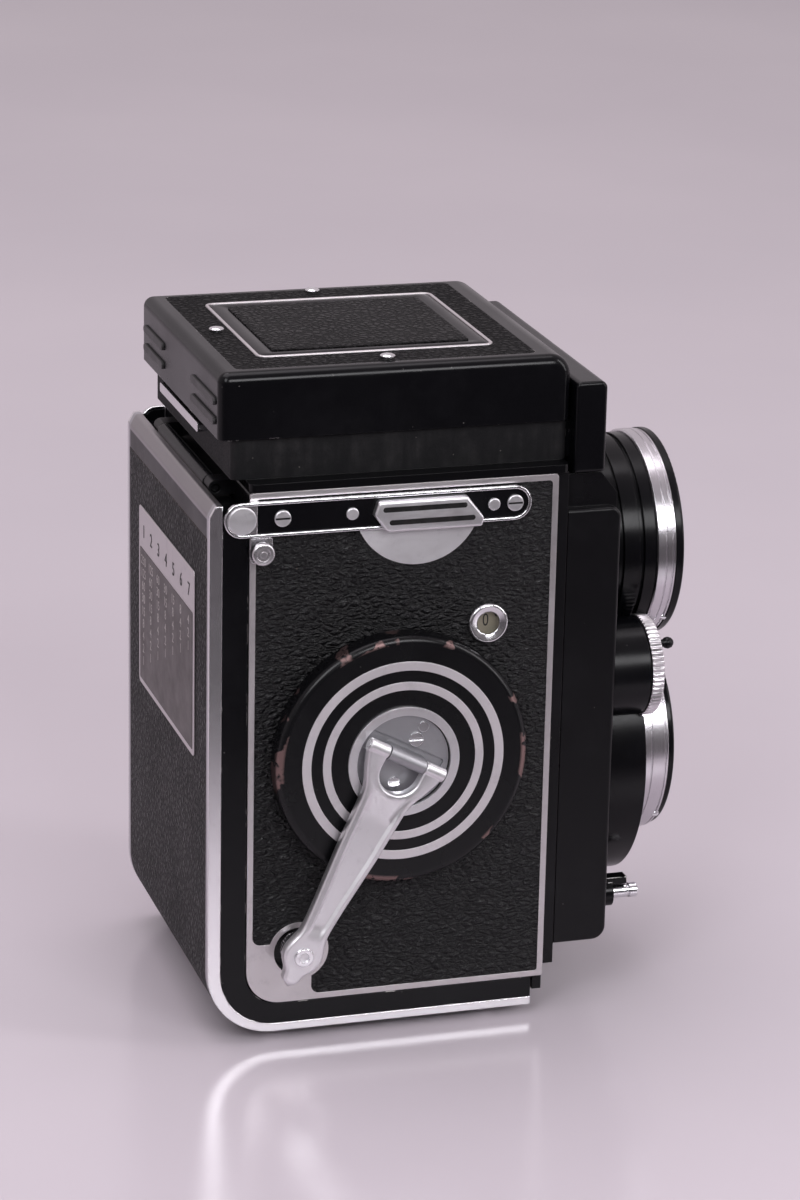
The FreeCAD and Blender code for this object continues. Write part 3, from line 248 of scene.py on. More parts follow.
def matte_paint(name, colour=(0.004, 0.004, 0.0048), gloss_below=None):
    """Black crackle finish, dusty, with streaks that run downwards; plain enamel below a height."""
    look = Look(name, specular_ior_level=0.2)
    look.round_edges(0.2)
    streaks = look.noise(0.5, look.stretched(1, 1, 0.12), detail=4)
    grain = look.noise(3.0, detail=4, roughness=0.7)
    dusty = look.fit(look.noise(0.12, detail=6, roughness=0.7), 0.4, 0.75)
    dusty = look.times(dusty, look.fit(streaks, 0.35, 0.7))
    tone = look.mixed(look.times(dusty, 0.3), colour, (0.07, 0.066, 0.066))
    specks = look.fit(look.cells(0.35), 0.05, 0.03)
    tone = look.mixed(look.times(specks, 0.5), tone, (0.2, 0.19, 0.17))
    rough = look.fit(grain, 0.3, 0.7, 0.5, 0.75)
    if gloss_below:
        wall = look.fit(look.axis("z"), (gloss_below - 0.1) * MM, (gloss_below + 0.1) * MM)
        tone = look.mixed(wall, (0.0025, 0.0025, 0.003), tone)
        rough = look.plus(look.times(wall, rough), look.fit(wall, 0, 1, 0.17, 0.0))
        grain = look.times(grain, wall)
    look.set(base_color=tone, roughness=rough)
    look.bump(grain, 0.05, 0.5)
    return look.material


def leather(name, pebble, stretch=(1, 1, 1), relief=0.12, colour=(0.0075, 0.007, 0.0078), shine=0.42,
            gleam=0.32, worn=None):
    """Embossed leather: uneven pebbles with creases between them, duller in the creases.
    Worn gives, for each axis, the middle of the panel and half its length; its edges are rubbed brown."""
    look = Look(name)
    place = look.warped(0.35 / pebble, 0.9 * pebble, look.stretched(*stretch))
    pillow = look.fit(look.cells(1 / pebble, place, "DISTANCE_TO_EDGE"), 0.0, 0.34, smooth=True)
    fine = look.fit(look.cells(2.6 / pebble, place, "DISTANCE_TO_EDGE"), 0, 0.2)
    pores = look.noise(5.0 / pebble, place, detail=3)
    height = look.plus(look.plus(look.times(pillow, 0.75), look.times(fine, 0.18)), look.times(pores, 0.12))
    patches = look.noise(0.05, detail=5)
    rubbed = look.times(pillow, look.fit(patches, 0.35, 0.7))
    tone = look.mixed(rubbed, [c * 0.5 for c in colour], [c * 1.4 for c in colour])
    specks = look.fit(look.cells(0.12), 0.02, 0.012)
    tone = look.mixed(look.times(specks, 0.5), tone, (0.25, 0.2, 0.17))
    if worn:
        width = 0.5
        near = []
        for axis, (centre, half) in worn.items():
            away = look.maths("ABSOLUTE", look.maths("SUBTRACT", look.axis(axis), centre * MM), 0.0)
            near.append(look.fit(away, (half - width) * MM, half * MM, smooth=True))
        ragged = look.times(look.maths("MAXIMUM", *near), look.fit(look.noise(0.4, detail=5), 0.3, 0.6))
        tone = look.mixed(look.times(ragged, 0.8), tone, (0.075, 0.045, 0.032))
    rough = look.plus(look.fit(pillow, 0, 1, shine + 0.22, shine), look.fit(patches, 0.3, 0.7, 0.0, 0.1))
    look.set(base_color=tone, roughness=rough, specular_ior_level=gleam)
    look.bump(height, relief, 1.0)
    return look.material


def metal(name, colour, roughness, grain=None, scratches=0.5, radius=0.2, spread=0.10):
    """Plated or polished metal with smears, fine scratches and a little tarnish."""
    look = Look(name, metallic=1.0)
    look.round_edges(radius)
    smears = look.noise(0.06, detail=5)
    lines = look.noise(6.0, grain(look) if grain else look.stretched(1, 0.05, 0.3), detail=3)
    tarnish = look.fit(look.noise(0.3, detail=6, roughness=0.7), 0.55, 0.8, 0, 0.45)
    tone = look.mixed(tarnish, colour, [c * 0.62 for c in colour])
    smeared = look.fit(smears, 0.3, 0.7, roughness, roughness + spread)
    rough = look.plus(smeared, look.fit(lines, 0.3, 0.8, -0.03, 0.06))
    look.set(base_color=tone, roughness=rough)
    look.bump(lines, 0.004, scratches)
    return look.material


def faceted_edge():
    """The door's bright edge: polished along its outer corner, satin further in, and dark under the line
    across the top."""
    look = Look("door_edge_metal", metallic=1.0)
    look.round_edges(0.3)
    across = look.maths("ABSOLUTE", look.axis("x"), 0.0)
    polished = look.fit(across, 36.35 * MM, 36.5 * MM)
    strip = look.fit(across, 34.6 * MM, 35.1 * MM)
    upper_line = look.fit(look.axis("z"), 114.2 * MM, 114.5 * MM)
    smears = look.noise(0.06, detail=5)
    lines = look.noise(4.0, look.stretched(1, 0.15, 0.15), detail=3)
    bar_tone = look.mixed(upper_line, (0.012, 0.011, 0.012), (0.36, 0.34, 0.35))
    tone = look.mixed(polished, look.mixed(strip, bar_tone, (0.5, 0.49, 0.52)), (0.86, 0.85, 0.87))
    tarnish = look.fit(look.noise(0.3, detail=6, roughness=0.7), 0.6, 0.8, 0, 0.5)
    satin = look.times(look.maths("SUBTRACT", 1.0, polished), look.fit(smears, 0.3, 0.7, 0.3, 0.4))
    bright = look.times(polished, look.fit(smears, 0.3, 0.7, 0.08, 0.16))
    look.set(base_color=look.mixed(tarnish, tone, (0.33, 0.3, 0.3)), roughness=look.plus(bright, satin))
    look.bump(lines, 0.006, 0.4)
    return look.material


def turned_metal(name, colour, roughness, centre, keep, scratches=0.7):
    """Metal turned in a lathe, with fine rings round its own centre."""

    def rings(look):
        combine = look.add("ShaderNodeCombineXYZ")
        look.join(look.times(look.distance(centre, keep), MM), combine.inputs[0])
        return combine.outputs[0]

    return metal(name, colour, roughness, rings, scratches)


def worn_disc_paint():
    """The crank disc's enamel, rubbed down to pinkish brass in patches along its rounded edge."""
    look = Look("crank_enamel")
    look.round_edges(0.25)
    radius = look.distance(CRANK, "yz")
    edge = look.times(look.fit(radius, 25.7, 26.3), look.fit(radius, 27.45, 27.2))
    patches = look.fit(look.noise(0.085, detail=4, roughness=0.55), 0.53, 0.55)
    ragged = look.fit(look.noise(0.9, detail=5, roughness=0.7), 0.36, 0.42)
    bare = look.times(look.times(edge, patches), ragged)
    smears = look.fit(look.noise(0.05, detail=5), 0.35, 0.7, 0.2, 0.34)
    tone = look.mixed(bare, (0.0026, 0.0026, 0.0033), (0.19, 0.12, 0.115))
    dust = look.fit(look.cells(0.3), 0.03, 0.018)
    tone = look.mixed(look.times(dust, 0.4), tone, (0.2, 0.19, 0.18))
    look.set(base_color=tone, roughness=look.plus(smears, look.times(bare, 0.12)),
             metallic=look.times(bare, 0.55), specular_ior_level=0.3)
    look.bump(look.maths("SUBTRACT", 1.0, bare), 0.05, 0.6)
    return look.material


def painted(name, colour, roughness, spread=0.1, relief=0.02):
    """Plain paint, print or plastic with a little unevenness."""
    look = Look(name)
    look.round_edges(0.15)
    uneven = look.noise(0.25, detail=5)
    tone = look.mixed(look.fit(uneven, 0.3, 0.75), colour, [c * 0.75 for c in colour])
    look.set(base_color=tone, roughness=look.fit(uneven, 0.3, 0.7, roughness, roughness + spread))
    look.bump(look.noise(1.5, detail=4), relief, 0.4)
    return look.material


def glass(name, tint=(1, 1, 1), roughness=0.0, film=0.0):
    """Glass with a faint smear, and with a coating where a film thickness in nanometres is given."""
    look = Look(name, transmission_weight=1.0, ior=1.52, thin_film_thickness=film, thin_film_ior=1.38)
    smear = look.fit(look.noise(0.1, detail=5), 0.45, 0.8, roughness, roughness + 0.03)
    look.set(base_color=tint, roughness=smear)
    return look.material


PAINT = gloss_paint("black_enamel")
PAINT_CHIPPED = gloss_paint("black_enamel_chipped", chips=0.05)
PAINT_LID = gloss_paint("black_enamel_lid", chips=0.02)
PAINT_SATIN = gloss_paint("black_enamel_satin", colour=(0.0032, 0.003, 0.0038), roughness=0.24)
MATTE = matte_paint("matte_black")
WALL = matte_paint("hood_wall_black", gloss_below=121.8)
FLOCK = matte_paint("inside_black", colour=(0.006, 0.006, 0.006))
SIDE_LEATHER = leather("side_leather", 1.3, stretch=(1, 0.55, 1.15), relief=0.5,
                       colour=(0.0035, 0.0035, 0.0045), shine=0.24, gleam=0.32)
DOOR_LEATHER = leather("door_leather", 1.25, stretch=(1.1, 1, 0.8), relief=0.6, shine=0.33,
                       worn={"x": (0, 35.1), "z": (56.0, 54.3)})
PAD_LEATHER = leather("lid_pad_leather", 1.7, stretch=(1, 1.15, 1), relief=1.3, shine=0.36, gleam=0.2)
LID_LEATHER = leather("lid_border_leather", 1.6, relief=1.2, shine=0.4, gleam=0.12)
CHROME = metal("bright_chrome", (0.84, 0.84, 0.86), 0.09, scratches=0.2)
CHROME_SOFT = metal("worn_chrome", (0.78, 0.77, 0.79), 0.17, scratches=0.3)
EDGE_METAL = faceted_edge()
TRIM = metal("trim_metal", (0.66, 0.63, 0.64), 0.36, scratches=0.5)
SATIN = metal("satin_aluminium", (0.86, 0.85, 0.87), 0.33, scratches=0.5)
HUB_GREY = metal("hub_grey", (0.42, 0.42, 0.44), 0.42, scratches=0.6)
KNURLED = metal("knurled_chrome", (0.72, 0.70, 0.72), 0.24, scratches=0.3, radius=0.04)
PLATE_METAL = metal("bridge_plate", (0.88, 0.87, 0.89), 0.30, scratches=0.4)
BRUSHED = metal("brushed_plate", (0.90, 0.89, 0.91), 0.40, lambda look: look.stretched(1, 0.06, 1.0), 0.6)
DISC_METAL = metal("radial_brushed", (0.85, 0.84, 0.86), 0.34, scratches=0.6)
STEEL = metal("steel", (0.45, 0.45, 0.46), 0.3)
BRASS = metal("brass", (0.55, 0.40, 0.22), 0.35)
MIRROR = metal("mirror_silver", (0.9, 0.9, 0.9), 0.02, scratches=0.0, spread=0.02)
RING = turned_metal("turned_rings", (0.80, 0.77, 0.79), 0.45, CRANK, "yz", 0.35)
LENS_CHROME = turned_metal("lens_chrome", (0.70, 0.68, 0.71), 0.16, (0, 0, 72), "y", 0.4)
CRANK_PAINT = worn_disc_paint()
CELL_PAINT = painted("cell_paint", (0.008, 0.008, 0.009), 0.35)
PLASTIC = painted("spool_plastic", (0.01, 0.01, 0.011), 0.3)
CREAM = painted("dial_cream", (0.62, 0.56, 0.42), 0.5)
INK = painted("dark_ink", (0.02, 0.018, 0.018), 0.5)
LIGHT_INK = painted("light_ink", (0.50, 0.46, 0.45), 0.45)
FIELD = painted("table_field", (0.075, 0.062, 0.062), 0.38)
RIB_PAINT = painted("rib_paint", (0.035, 0.033, 0.034), 0.4)
CLEAR = glass("clear_glass")
LENS = glass("coated_glass", film=420.0)
GROUND = glass("ground_glass", tint=(0.85, 0.87, 0.85), roughness=0.45)


# ---- meshes -------------------------------------------------------------------------------------
def finished(name, mesh, body, material, bevel=0.0, replaces=()):
    """Links a mesh as a piece that rides on a body, with its material."""
    mesh.name = name
    piece = bpy.data.objects.new(name, mesh)
    bpy.context.scene.collection.objects.link(piece)
    mesh.materials.clear()
    mesh.materials.append(material)
    if bevel:
        modifier = piece.modifiers.new("rounded_edges", "BEVEL")
        modifier.width = bevel * MM
        modifier.segments = 3
        modifier.limit_method = "ANGLE"
        modifier.angle_limit = math.radians(40)
        modifier.use_clamp_overlap = True
    mesh.polygons.foreach_set("use_smooth", [True] * len(mesh.polygons))
    mesh.set_sharp_from_angle(angle=math.radians(35))
    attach(piece, body)
    if replaces:
        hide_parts(*replaces)


def mesh_from(points, faces):
    """A mesh from points in millimetres, with its faces turned outwards."""
    mesh = bpy.data.meshes.new("mesh")
    mesh.from_pydata([Vector(p) * MM for p in points], [], faces)
    build = bmesh.new()
    build.from_mesh(mesh)
    bmesh.ops.remove_doubles(build, verts=build.verts, dist=1e-7)
    bmesh.ops.recalc_face_normals(build, faces=build.faces)
    build.to_mesh(mesh)
    build.free()
    return mesh


def together(meshes):
    """Several meshes as one."""
    build = bmesh.new()
    for mesh in meshes:
        build.from_mesh(mesh)
        bpy.data.meshes.remove(mesh)
    whole = bpy.data.meshes.new("mesh")
    build.to_mesh(whole)
    build.free()
    return whole


def at(axis, along, a, b):
    """A point with the distance along one axis, and the other two coordinates in X, Y, Z order."""
    return {"x": (along, a, b), "y": (a, along, b), "z": (a, b, along)}[axis]


def lathe(axis, start, a, b, profile, segments=96, knurls=(), way=1):
    """Turns a profile of (distance from the start, radius) about an axis, in either direction along it.
    Each knurl is (first ring, last ring, number of ridges, depth)."""
    points, rings = [], []
    for index, (distance, radius) in enumerate(profile):
        ring = []
        for step in range(1 if radius == 0 else segments):
            angle = 2 * math.pi * step / segments
            reach = radius
            for first, last, count, depth in knurls:
                if first <= index <= last:
                    reach -= depth * (0.5 - 0.5 * math.cos(angle * count))
            ring.append(len(points))
            across, up = a + reach * math.cos(angle), b + reach * math.sin(angle)
            points.append(at(axis, start + way * distance, across, up))
        rings.append(ring)
    faces = []
    for one, two in zip(rings, rings[1:]):
        for step in range(segments):
            after = step + 1
            corners = [one[step % len(one)], one[after % len(one)],
                       two[after % len(two)], two[step % len(two)]]
            corners = [c for i, c in enumerate(corners) if c != corners[i - 1]]
            if len(corners) > 2:
                faces.append(corners)
    return mesh_from(points, faces)


def side_lathe(y, z, profile, segments, knurls=(), side=-1):
    """A turned part on a side of the body, from (height above the leather, radius)."""
    return lathe("x", above(0, side), y, z, profile, segments, knurls, side)


def prism(axis, start, end, outline):
    """A straight prism along an axis over a flat outline."""
    return loft(axis, (start, end), (outline, outline))


def side_prism(side, base, top, outline):
    """A flat part on a side of the body, between two heights above the leather."""
    return prism("x", above(base, side), above(top, side), outline)


def loft(axis, places, outlines):
    """A solid through outlines with the same number of points, each at its own place along an axis."""
    count = len(outlines[0])
    last = count * (len(outlines) - 1)
    points = [at(axis, along, a, b) for along, outline in zip(places, outlines) for a, b in outline]
    faces = [[k + i, k + (i + 1) % count, k + count + (i + 1) % count, k + count + i]
             for k in range(0, last, count) for i in range(count)]
    return mesh_from(points, faces + [list(range(count)), list(range(last, last + count))])


def band(axis, start, end, outer, inner):
    """A prism between two outlines with the same number of points."""
    count = len(outer)
    points = [at(axis, along, a, b) for along in (start, end) for loop in (outer, inner) for a, b in loop]
    faces = []
    for i in range(count):
        j = (i + 1) % count
        for one, two in ((0, 1), (2, 3), (0, 2), (1, 3)):
            faces.append([one * count + i, one * count + j, two * count + j, two * count + i])
    return mesh_from(points, faces)


def arc(a, b, radius, first, last, steps):
    """Points round a centre, between two angles in degrees."""
    turns = [math.radians(first + (last - first) * k / steps) for k in range(steps + 1)]
    return [(a + radius * math.cos(t), b + radius * math.sin(t)) for t in turns]


def rounded(corners, radius, steps=8):
    """A flat outline with its corners rounded: one radius, or one for each corner."""
    radii = radius if isinstance(radius, (list, tuple)) else [radius] * len(corners)
    outline = []
    for i, (corner, size) in enumerate(zip(corners, radii)):
        corner = Vector(corner)
        before = (Vector(corners[i - 1]) - corner).normalized()
        after = (Vector(corners[(i + 1) % len(corners)]) - corner).normalized()
        half = before.angle(after) / 2
        centre = corner + (before + after).normalized() * (size / math.sin(half))
        start = corner + before * (size / math.tan(half)) - centre
        end = corner + after * (size / math.tan(half)) - centre
        turn = start.angle_signed(end)
        for step in range(steps + 1):
            outline.append(tuple(centre + Matrix.Rotation(-turn * step / steps, 2) @ start))
    return outline


def rectangle(a0, a1, b0, b1, radius=0.0):
    corners = [(a0, b0), (a1, b0), (a1, b1), (a0, b1)]
    return rounded(corners, radius) if radius else corners


def stadium(a0, a1, b, radius):
    """An outline with two round ends, centred at a0 and a1."""
    return arc(a1, b, radius, -90, 90, 16) + arc(a0, b, radius, 90, 270, 16)


def numbers(text, size, place, right, up, thick=0.03):
    """A number as a thin raised mesh, centred at a place."""
    curve = bpy.data.curves.new("number", "FONT")
    curve.body = text
    curve.size = size
    curve.align_x = "CENTER"
    curve.align_y = "CENTER"
    curve.extrude = thick
    curve.resolution_u = 3
    holder = bpy.data.objects.new("number", curve)
    bpy.context.scene.collection.objects.link(holder)
    mesh = bpy.data.meshes.new_from_object(holder)
    bpy.data.objects.remove(holder)
    bpy.data.curves.remove(curve)
    right, up = Vector(right), Vector(up)
    turn = Matrix((right, up, right.cross(up))).transposed().to_4x4()
    mesh.transform(Matrix.Diagonal((MM, MM, MM, 1)) @ Matrix.Translation(Vector(place)) @ turn)
    return mesh


# ---- materials for the CAD nodes that are shown as they are --------------------------------------
DRESS = {
    PAINT_CHIPPED: ("back_door", "nameplate_block", "release_lock"),
    PAINT: ("viewing_barrel", "shutter_housing", "lens_rims"),
    PAINT_LID: ("hood_lid",),
    WALL: ("hood_base",),
    EDGE_METAL: ("door_edge_trim",),
    PAINT_SATIN: ("lens_standard", "body_casting", "side_covers", "magnifier"),
    MATTE: ("hood_panel_crank_side", "hood_panel_focus_side", "hood_panel_rear"),
    FLOCK: ("pressure_plate", "shutter_blades"),
    SIDE_LEATHER: ("side_leathers",),
    LID_LEATHER: ("lid_leather",),
    DOOR_LEATHER: ("door_leather",),
    CHROME: ("crank_fasteners",),
    CHROME_SOFT: ("hood_catch", "door_latch"),
    PLATE_METAL: ("crank_rim",),
    TRIM: ("side_trim_frames",),
    SATIN: ("tripod_bush",),
    HUB_GREY: ("crank_hub_plate",),
    RING: ("crank_rings",),
    CRANK_PAINT: ("crank_disc",),
    STEEL: ("crank_shaft_gear", "upper_film_roller", "lower_film_roller", "pressure_springs"),
    BRASS: ("take_up_gear",),
    PLASTIC: ("take_up_spool",),
    CREAM: ("counter_dial",),
    CLEAR: ("counter_glass", "magnifier_lens"),
    LENS: ("lens_glasses",),
    GROUND: ("focusing_screen",),
    MIRROR: ("reflex_mirror",),
}


def dress_nodes():
    """Gives the CAD nodes that stay visible their materials."""
    for material, names in DRESS.items():
        for name in names:
            node = frame["nodes"][name]
            if not node.material_slots:
                node.data.materials.append(material)
            for slot in node.material_slots:
                slot.material = material


# ---- the folding arm and its knob ---------------------------------------------------------------
ARM_REACH = (KNOB - HINGE).length
ARM_SURFACE, ARM_UNDER = 8.9, 6.45      # heights above the leather
ARM_STEP = 0.6                          # between rows of points along the arm
FORK_R = 4.5                            # half the gap of the fork
FORK_DEPTH = 3.2
KNUCKLE_END = 9.2                       # half the width across the knuckles
# How wide the arm is: (distance from the hinge, half width), then (distance from the knob, half width).
ARM_NEAR_HINGE = ((-3.0, KNUCKLE_END), (0.0, KNUCKLE_END), (4.5, 7.6), (9.0, 5.6), (14.5, 5.05), (22.0, 4.6),
                  (30.0, 3.85), (38.0, 3.15))
ARM_NEAR_KNOB = ((-5.0, 3.1), (-2.0, 4.0), (0.0, 4.3), (2.0, 3.7), (4.0, 2.2), (6.0, 1.7), (7.0, 1.0),
                 (8.0, 0.2))


def crank_point(along, across, height):
    """A place on the crank, from distances along and across the arm and above the leather."""
    flat = Vector((0, HINGE.y, HINGE.z)) + AHEAD * along + ACROSS * across
    return Vector((above(height), flat.y, flat.z))


def arm_half_width(along):
    """Half the width of the blade, from the fork's shoulders to the nib, as a smooth curve."""
    stations = ARM_NEAR_HINGE + tuple((ARM_REACH + past, half) for past, half in ARM_NEAR_KNOB)
    for i in range(1, len(stations) - 2):
        if along <= stations[i + 1][0]:
            break
    before, here, there, after = stations[i - 1:i + 3]
    span = there[0] - here[0]
    t = (along - here[0]) / span
    slope_here = (there[1] - before[1]) / (there[0] - before[0]) * span
    slope_there = (after[1] - here[1]) / (after[0] - here[0]) * span
    return ((2 * t ** 3 - 3 * t ** 2 + 1) * here[1] + (t ** 3 - 2 * t ** 2 + t) * slope_here
            + (3 * t ** 2 - 2 * t ** 3) * there[1] + (t ** 3 - t ** 2) * slope_there)


def arm_outline():
    """The outline along and across the arm, with the round-bottomed gap of its fork."""
    count = int((ARM_REACH + 7.0) / ARM_STEP)
    side = [(ARM_STEP * i, arm_half_width(ARM_STEP * i)) for i in range(count)]
    gap = [(0.0, -FORK_R)] + arc(FORK_DEPTH, 0.0, FORK_R, -90, 90, 24) + [(0.0, FORK_R)]
    return side + [(ARM_REACH + 7.2, 0.0)] + [(a, -w) for a, w in reversed(side)] + gap


def distance_to_loop(point, loop):
    """The distance from a flat point to the nearest side of a closed loop."""
    best = math.inf
    for i, (end_a, end_b) in enumerate(loop):
        a, b = loop[i - 1]
        da, db = end_a - a, end_b - b
        size = da * da + db * db
        share = 0 if size == 0 else max(0, min(1, ((point[0] - a) * da + (point[1] - b) * db) / size))
        best = min(best, math.hypot(point[0] - a - share * da, point[1] - b - share * db))
    return best


def smooth(value, low_end, high_end):
    """0 below the low end, 1 above the high end, and a soft step between them."""
    share = max(0.0, min(1.0, (value - low_end) / (high_end - low_end)))
    return share * share * (3 - 2 * share)


def arm_height(along, across, inside):
    """The pressed shape: round edges, a rib along each side and a shallow channel between them."""
    edge_r = 0.7
    height = ARM_SURFACE
    if inside < edge_r:
        height -= edge_r - math.sqrt(max(0.0, edge_r ** 2 - (edge_r - inside) ** 2))
    from_side = arm_half_width(along) - abs(across)
    ribbed = smooth(along, 6.0, 15.0) * (1 - smooth(along, ARM_REACH - 8.0, ARM_REACH - 4.0))
    rib = smooth(from_side, 0.7, 1.15) * (1 - smooth(from_side, 1.15, 1.6))
    channel = smooth(from_side, 1.25, 1.9)
    dome = 1 - smooth(abs(across), 0.0, 9.0)
    return height + ribbed * (0.12 * rib - 0.5 * channel) + 0.15 * dome * (1 - ribbed) - 0.15


def arm_rows():
    """Points of the arm's face, in rows that follow its sides and the gap of its fork."""
    rows = (0.15, 0.32, 0.5, 0.7, 0.9, 1.15, 1.4, 1.6, 1.9)
    points = []
    for i in range(1, int((ARM_REACH + 7.0) / ARM_STEP)):
        half = arm_half_width(ARM_STEP * i)
        across = [half - row for row in rows if row < half - 0.3]
        share = 1.0
        while share > 0.4 and half > 2.4:
            share -= 0.3
            across.append((half - rows[-1]) * share)
        points += [(ARM_STEP * i, sign * place) for place in across for sign in (-1, 1)]
        points.append((ARM_STEP * i, 0.0))
    clear = FORK_R + 0.75
    points = [p for p in points if math.hypot(max(0.0, p[0] - FORK_DEPTH), p[1]) > clear]
    for away in rows[:3]:
        points += arc(FORK_DEPTH, 0.0, FORK_R + away, -90, 90, 24)
        points += [(ARM_STEP * k, sign * (FORK_R + away)) for k in range(1, 5) for sign in (-1, 1)]
    return points


def crank_arm():
    """The pressed arm: a blade with a shaped face, and the two knuckles of its fork."""
    outline = arm_outline()
    inner = [p for p in arm_rows() if distance_to_loop(p, outline) > 0.1]
    edges = [(i, (i + 1) % len(outline)) for i in range(len(outline))]
    flat, _, cells, *_ = delaunay_2d_cdt([Vector(p) for p in outline + inner], edges, [], 1, 1e-5)
    top = [crank_point(p.x, p.y, arm_height(p.x, p.y, distance_to_loop(p, outline))) for p in flat]
    under = [crank_point(p.x, p.y, ARM_UNDER) for p in flat]
    count = len(flat)
    sides = {(face[i - 1], corner) for face in cells for i, corner in enumerate(face)}
    walls = [(a, b, count + b, count + a) for a, b in sorted(sides) if (b, a) not in sides]
    faces = [tuple(face) for face in cells] + [tuple(count + c for c in face) for face in cells] + walls
    knuckles = [knuckle(start, end) for start, end in ((FORK_R, KNUCKLE_END), (-KNUCKLE_END, -FORK_R))]
    return together([mesh_from(top + under, faces)] + knuckles)


def knuckle(start, end):
    """A rolled knuckle of the hinge, lying across the crank, with softly turned ends."""
    outer, bore, lip = 1.5, 0.87, 0.15
    profile = [(start, bore), (start, outer - lip), (start + lip, outer), (end - lip, outer),
               (end, outer - lip), (end, bore), (start, bore)]
    turned = lathe("x", 0, 0, 0, profile, 40)
    turn = Matrix((ACROSS, AHEAD, ACROSS.cross(AHEAD))).transposed().to_4x4()
    turned.transform(Matrix.Translation(Vector((above(7.6), HINGE.y, HINGE.z)) * MM) @ turn)
    return turned


def crank_knob():
    """The winding knob with its knurled grip, and the hollow rivet that shows on the arm."""
    grip = [(0.5, 0), (0.5, 1.8), (0.9, 2.4), (2.9, 2.5), (3.2, 3.3), (3.5, 3.75), (5.7, 3.75), (6.05, 3.4),
            (6.2, 1.3), (8.95, 1.3), (9.0, 1.9), (9.2, 2.1), (9.4, 1.9), (9.4, 1.1), (8.7, 0.9), (8.7, 0)]
    return side_lathe(KNOB.y, KNOB.z, grip, 192, [(5, 6, 32, 0.22)])


def hub_line():
    """A thin black ring of painted shade in the gap between the middle plate of the crank and its rim."""
    gap = [(4.55, 9.95), (4.66, 9.95), (4.66, 10.22), (4.55, 10.22), (4.55, 9.95)]
    line = side_lathe(CRANK.y, CRANK.z, gap, 120)
    finished("crank_gap_painted_shade", line, "crank", FLOCK)


# ---- the lid ------------------------------------------------------------------------------------
def stud(x, y, z):
    """A small mushroom-headed stud on the lid."""
    profile = [(-0.3, 0), (-0.3, 0.95), (0.35, 0.95), (0.4, 1.5), (0.6, 1.6), (0.85, 1.35), (0.98, 0.7),
               (1.0, 0)]
    return lathe("z", z, x, y, profile, 40)


def lid_pieces():
    """The bright line and studs, the raised panel inside the line, and the leather on the panel."""
    corner, far = low("finder_panel"), high("finder_panel")
    top = corner.z + 0.4

    def frame_at(inset, radius):
        reach = 1.2 - inset
        return rectangle(corner.x - reach, far.x + reach, corner.y - reach, far.y + reach, radius)

    line = band("z", top - 0.4, top + 0.3, frame_at(0, 2.2), frame_at(0.75, 1.5))
    studs = [stud(x, y, top) for x, y in ((-29.0, -2.1), (29.0, -2.1), (0.0, 26.8))]
    finished("lid_frame_line", line, "hood_lid", TRIM, bevel=0.2,
             replaces=["lid_bright_trim"])
    finished("lid_studs", together(studs), "hood_lid", CHROME)

    steps = ((0.8, -0.4), (0.8, 0.0), (1.1, 0.18), (2.4, 0.30), (3.4, 0.22), (4.1, 0.05))
    panel = loft("z", [top + rise for _, rise in steps],
                 [frame_at(inset, max(0.6, 2.2 - 0.4 * inset)) for inset, _ in steps])
    finished("finder_panel_bevel", panel, "hood_lid", PAINT, replaces=["finder_panel"])
    steps = ((4.2, 0.05), (4.2, 0.2975), (4.45, 0.4325), (5.0, 0.5))
    pad = loft("z", [top + rise for _, rise in steps], [frame_at(inset, 1.3) for inset, _ in steps])
    finished("finder_panel_leather", pad, "hood_lid", PAD_LEATHER)


def lid_ribs():
    """The raised ribs at both ends of the lid's rear face."""
    ribs = [prism("y", LID_REAR - 0.1, LID_REAR + 0.55, stadium(first, last, z, 0.85))
            for first, last in ((-30.4, -12.4), (14.6, 30.2)) for z in (138.0, 133.9)]
    finished("lid_rear_ribs", together(ribs), "hood_lid", RIB_PAINT, bevel=0.15)


# ---- the exposure table -------------------------------------------------------------------------
def exposure_table():
    """The plate on the door, with a dark field and columns of plain numbers."""
    corner, far = low("exposure_table"), high("exposure_table")
    face = far.y
    edge, header = 1.3, 8.0
    left, right_side = corner.x + edge, far.x - edge
    foot, head = corner.z + edge, far.z - edge - header
    plate = prism("y", corner.y, face - 0.1, rectangle(corner.x, far.x, corner.z, far.z, 1.2))
    finished("table_plate", plate, "door", TRIM, bevel=0.1, replaces=["exposure_table"])
    field = prism("y", face - 0.1, face - 0.02, rectangle(left, right_side, foot, head, 0.3))
    finished("table_field", field, "door", FIELD)

    right, up = (-1, 0, 0), (0, 0, 1)
    speeds = ("250", "125", "60", "30", "15", "8", "4", "2", "1")
    columns = 7
    step_x, step_z = (right_side - left) / columns, (head - foot) / 10.5
    light, dark = [], []
    for column in range(columns):
        x = right_side - step_x * (column + 0.5)
        dark.append(numbers(str(column + 1), 4.2, (x, face - 0.07, head + header / 2), right, up))
        for row in range(len(speeds) - column):
            z = head - step_z * (row + 0.9)
            light.append(numbers(speeds[column + row], 2.9, (x, face - 0.02, z), right, up))
    finished("table_numbers_light", together(light), "door", LIGHT_INK)
    finished("table_numbers_dark", together(dark), "door", INK)


# ---- the frame counter --------------------------------------------------------------------------
def counter_numbers():
    """The numbers 0 to 11 round the dial, narrow ones, with 0 in the window."""
    dial, window = pivot("counter_turn"), middle("counter_bezel")
    reach = Vector((window.y - dial.y, window.z - dial.z))
    width = 0.72
    meshes = []
    for number in range(12):
        turn = math.radians(30 * number)
        spoke = Matrix.Rotation(turn, 2) @ reach
        place = (low("counter_dial").x, dial.y + spoke.x, dial.z + spoke.y)
        right = (0, -width * math.cos(turn), -width * math.sin(turn))
        meshes.append(numbers(str(number), 4.0, place, right, (0, -math.sin(turn), math.cos(turn))))
    finished("counter_numbers", together(meshes), "counter", INK)


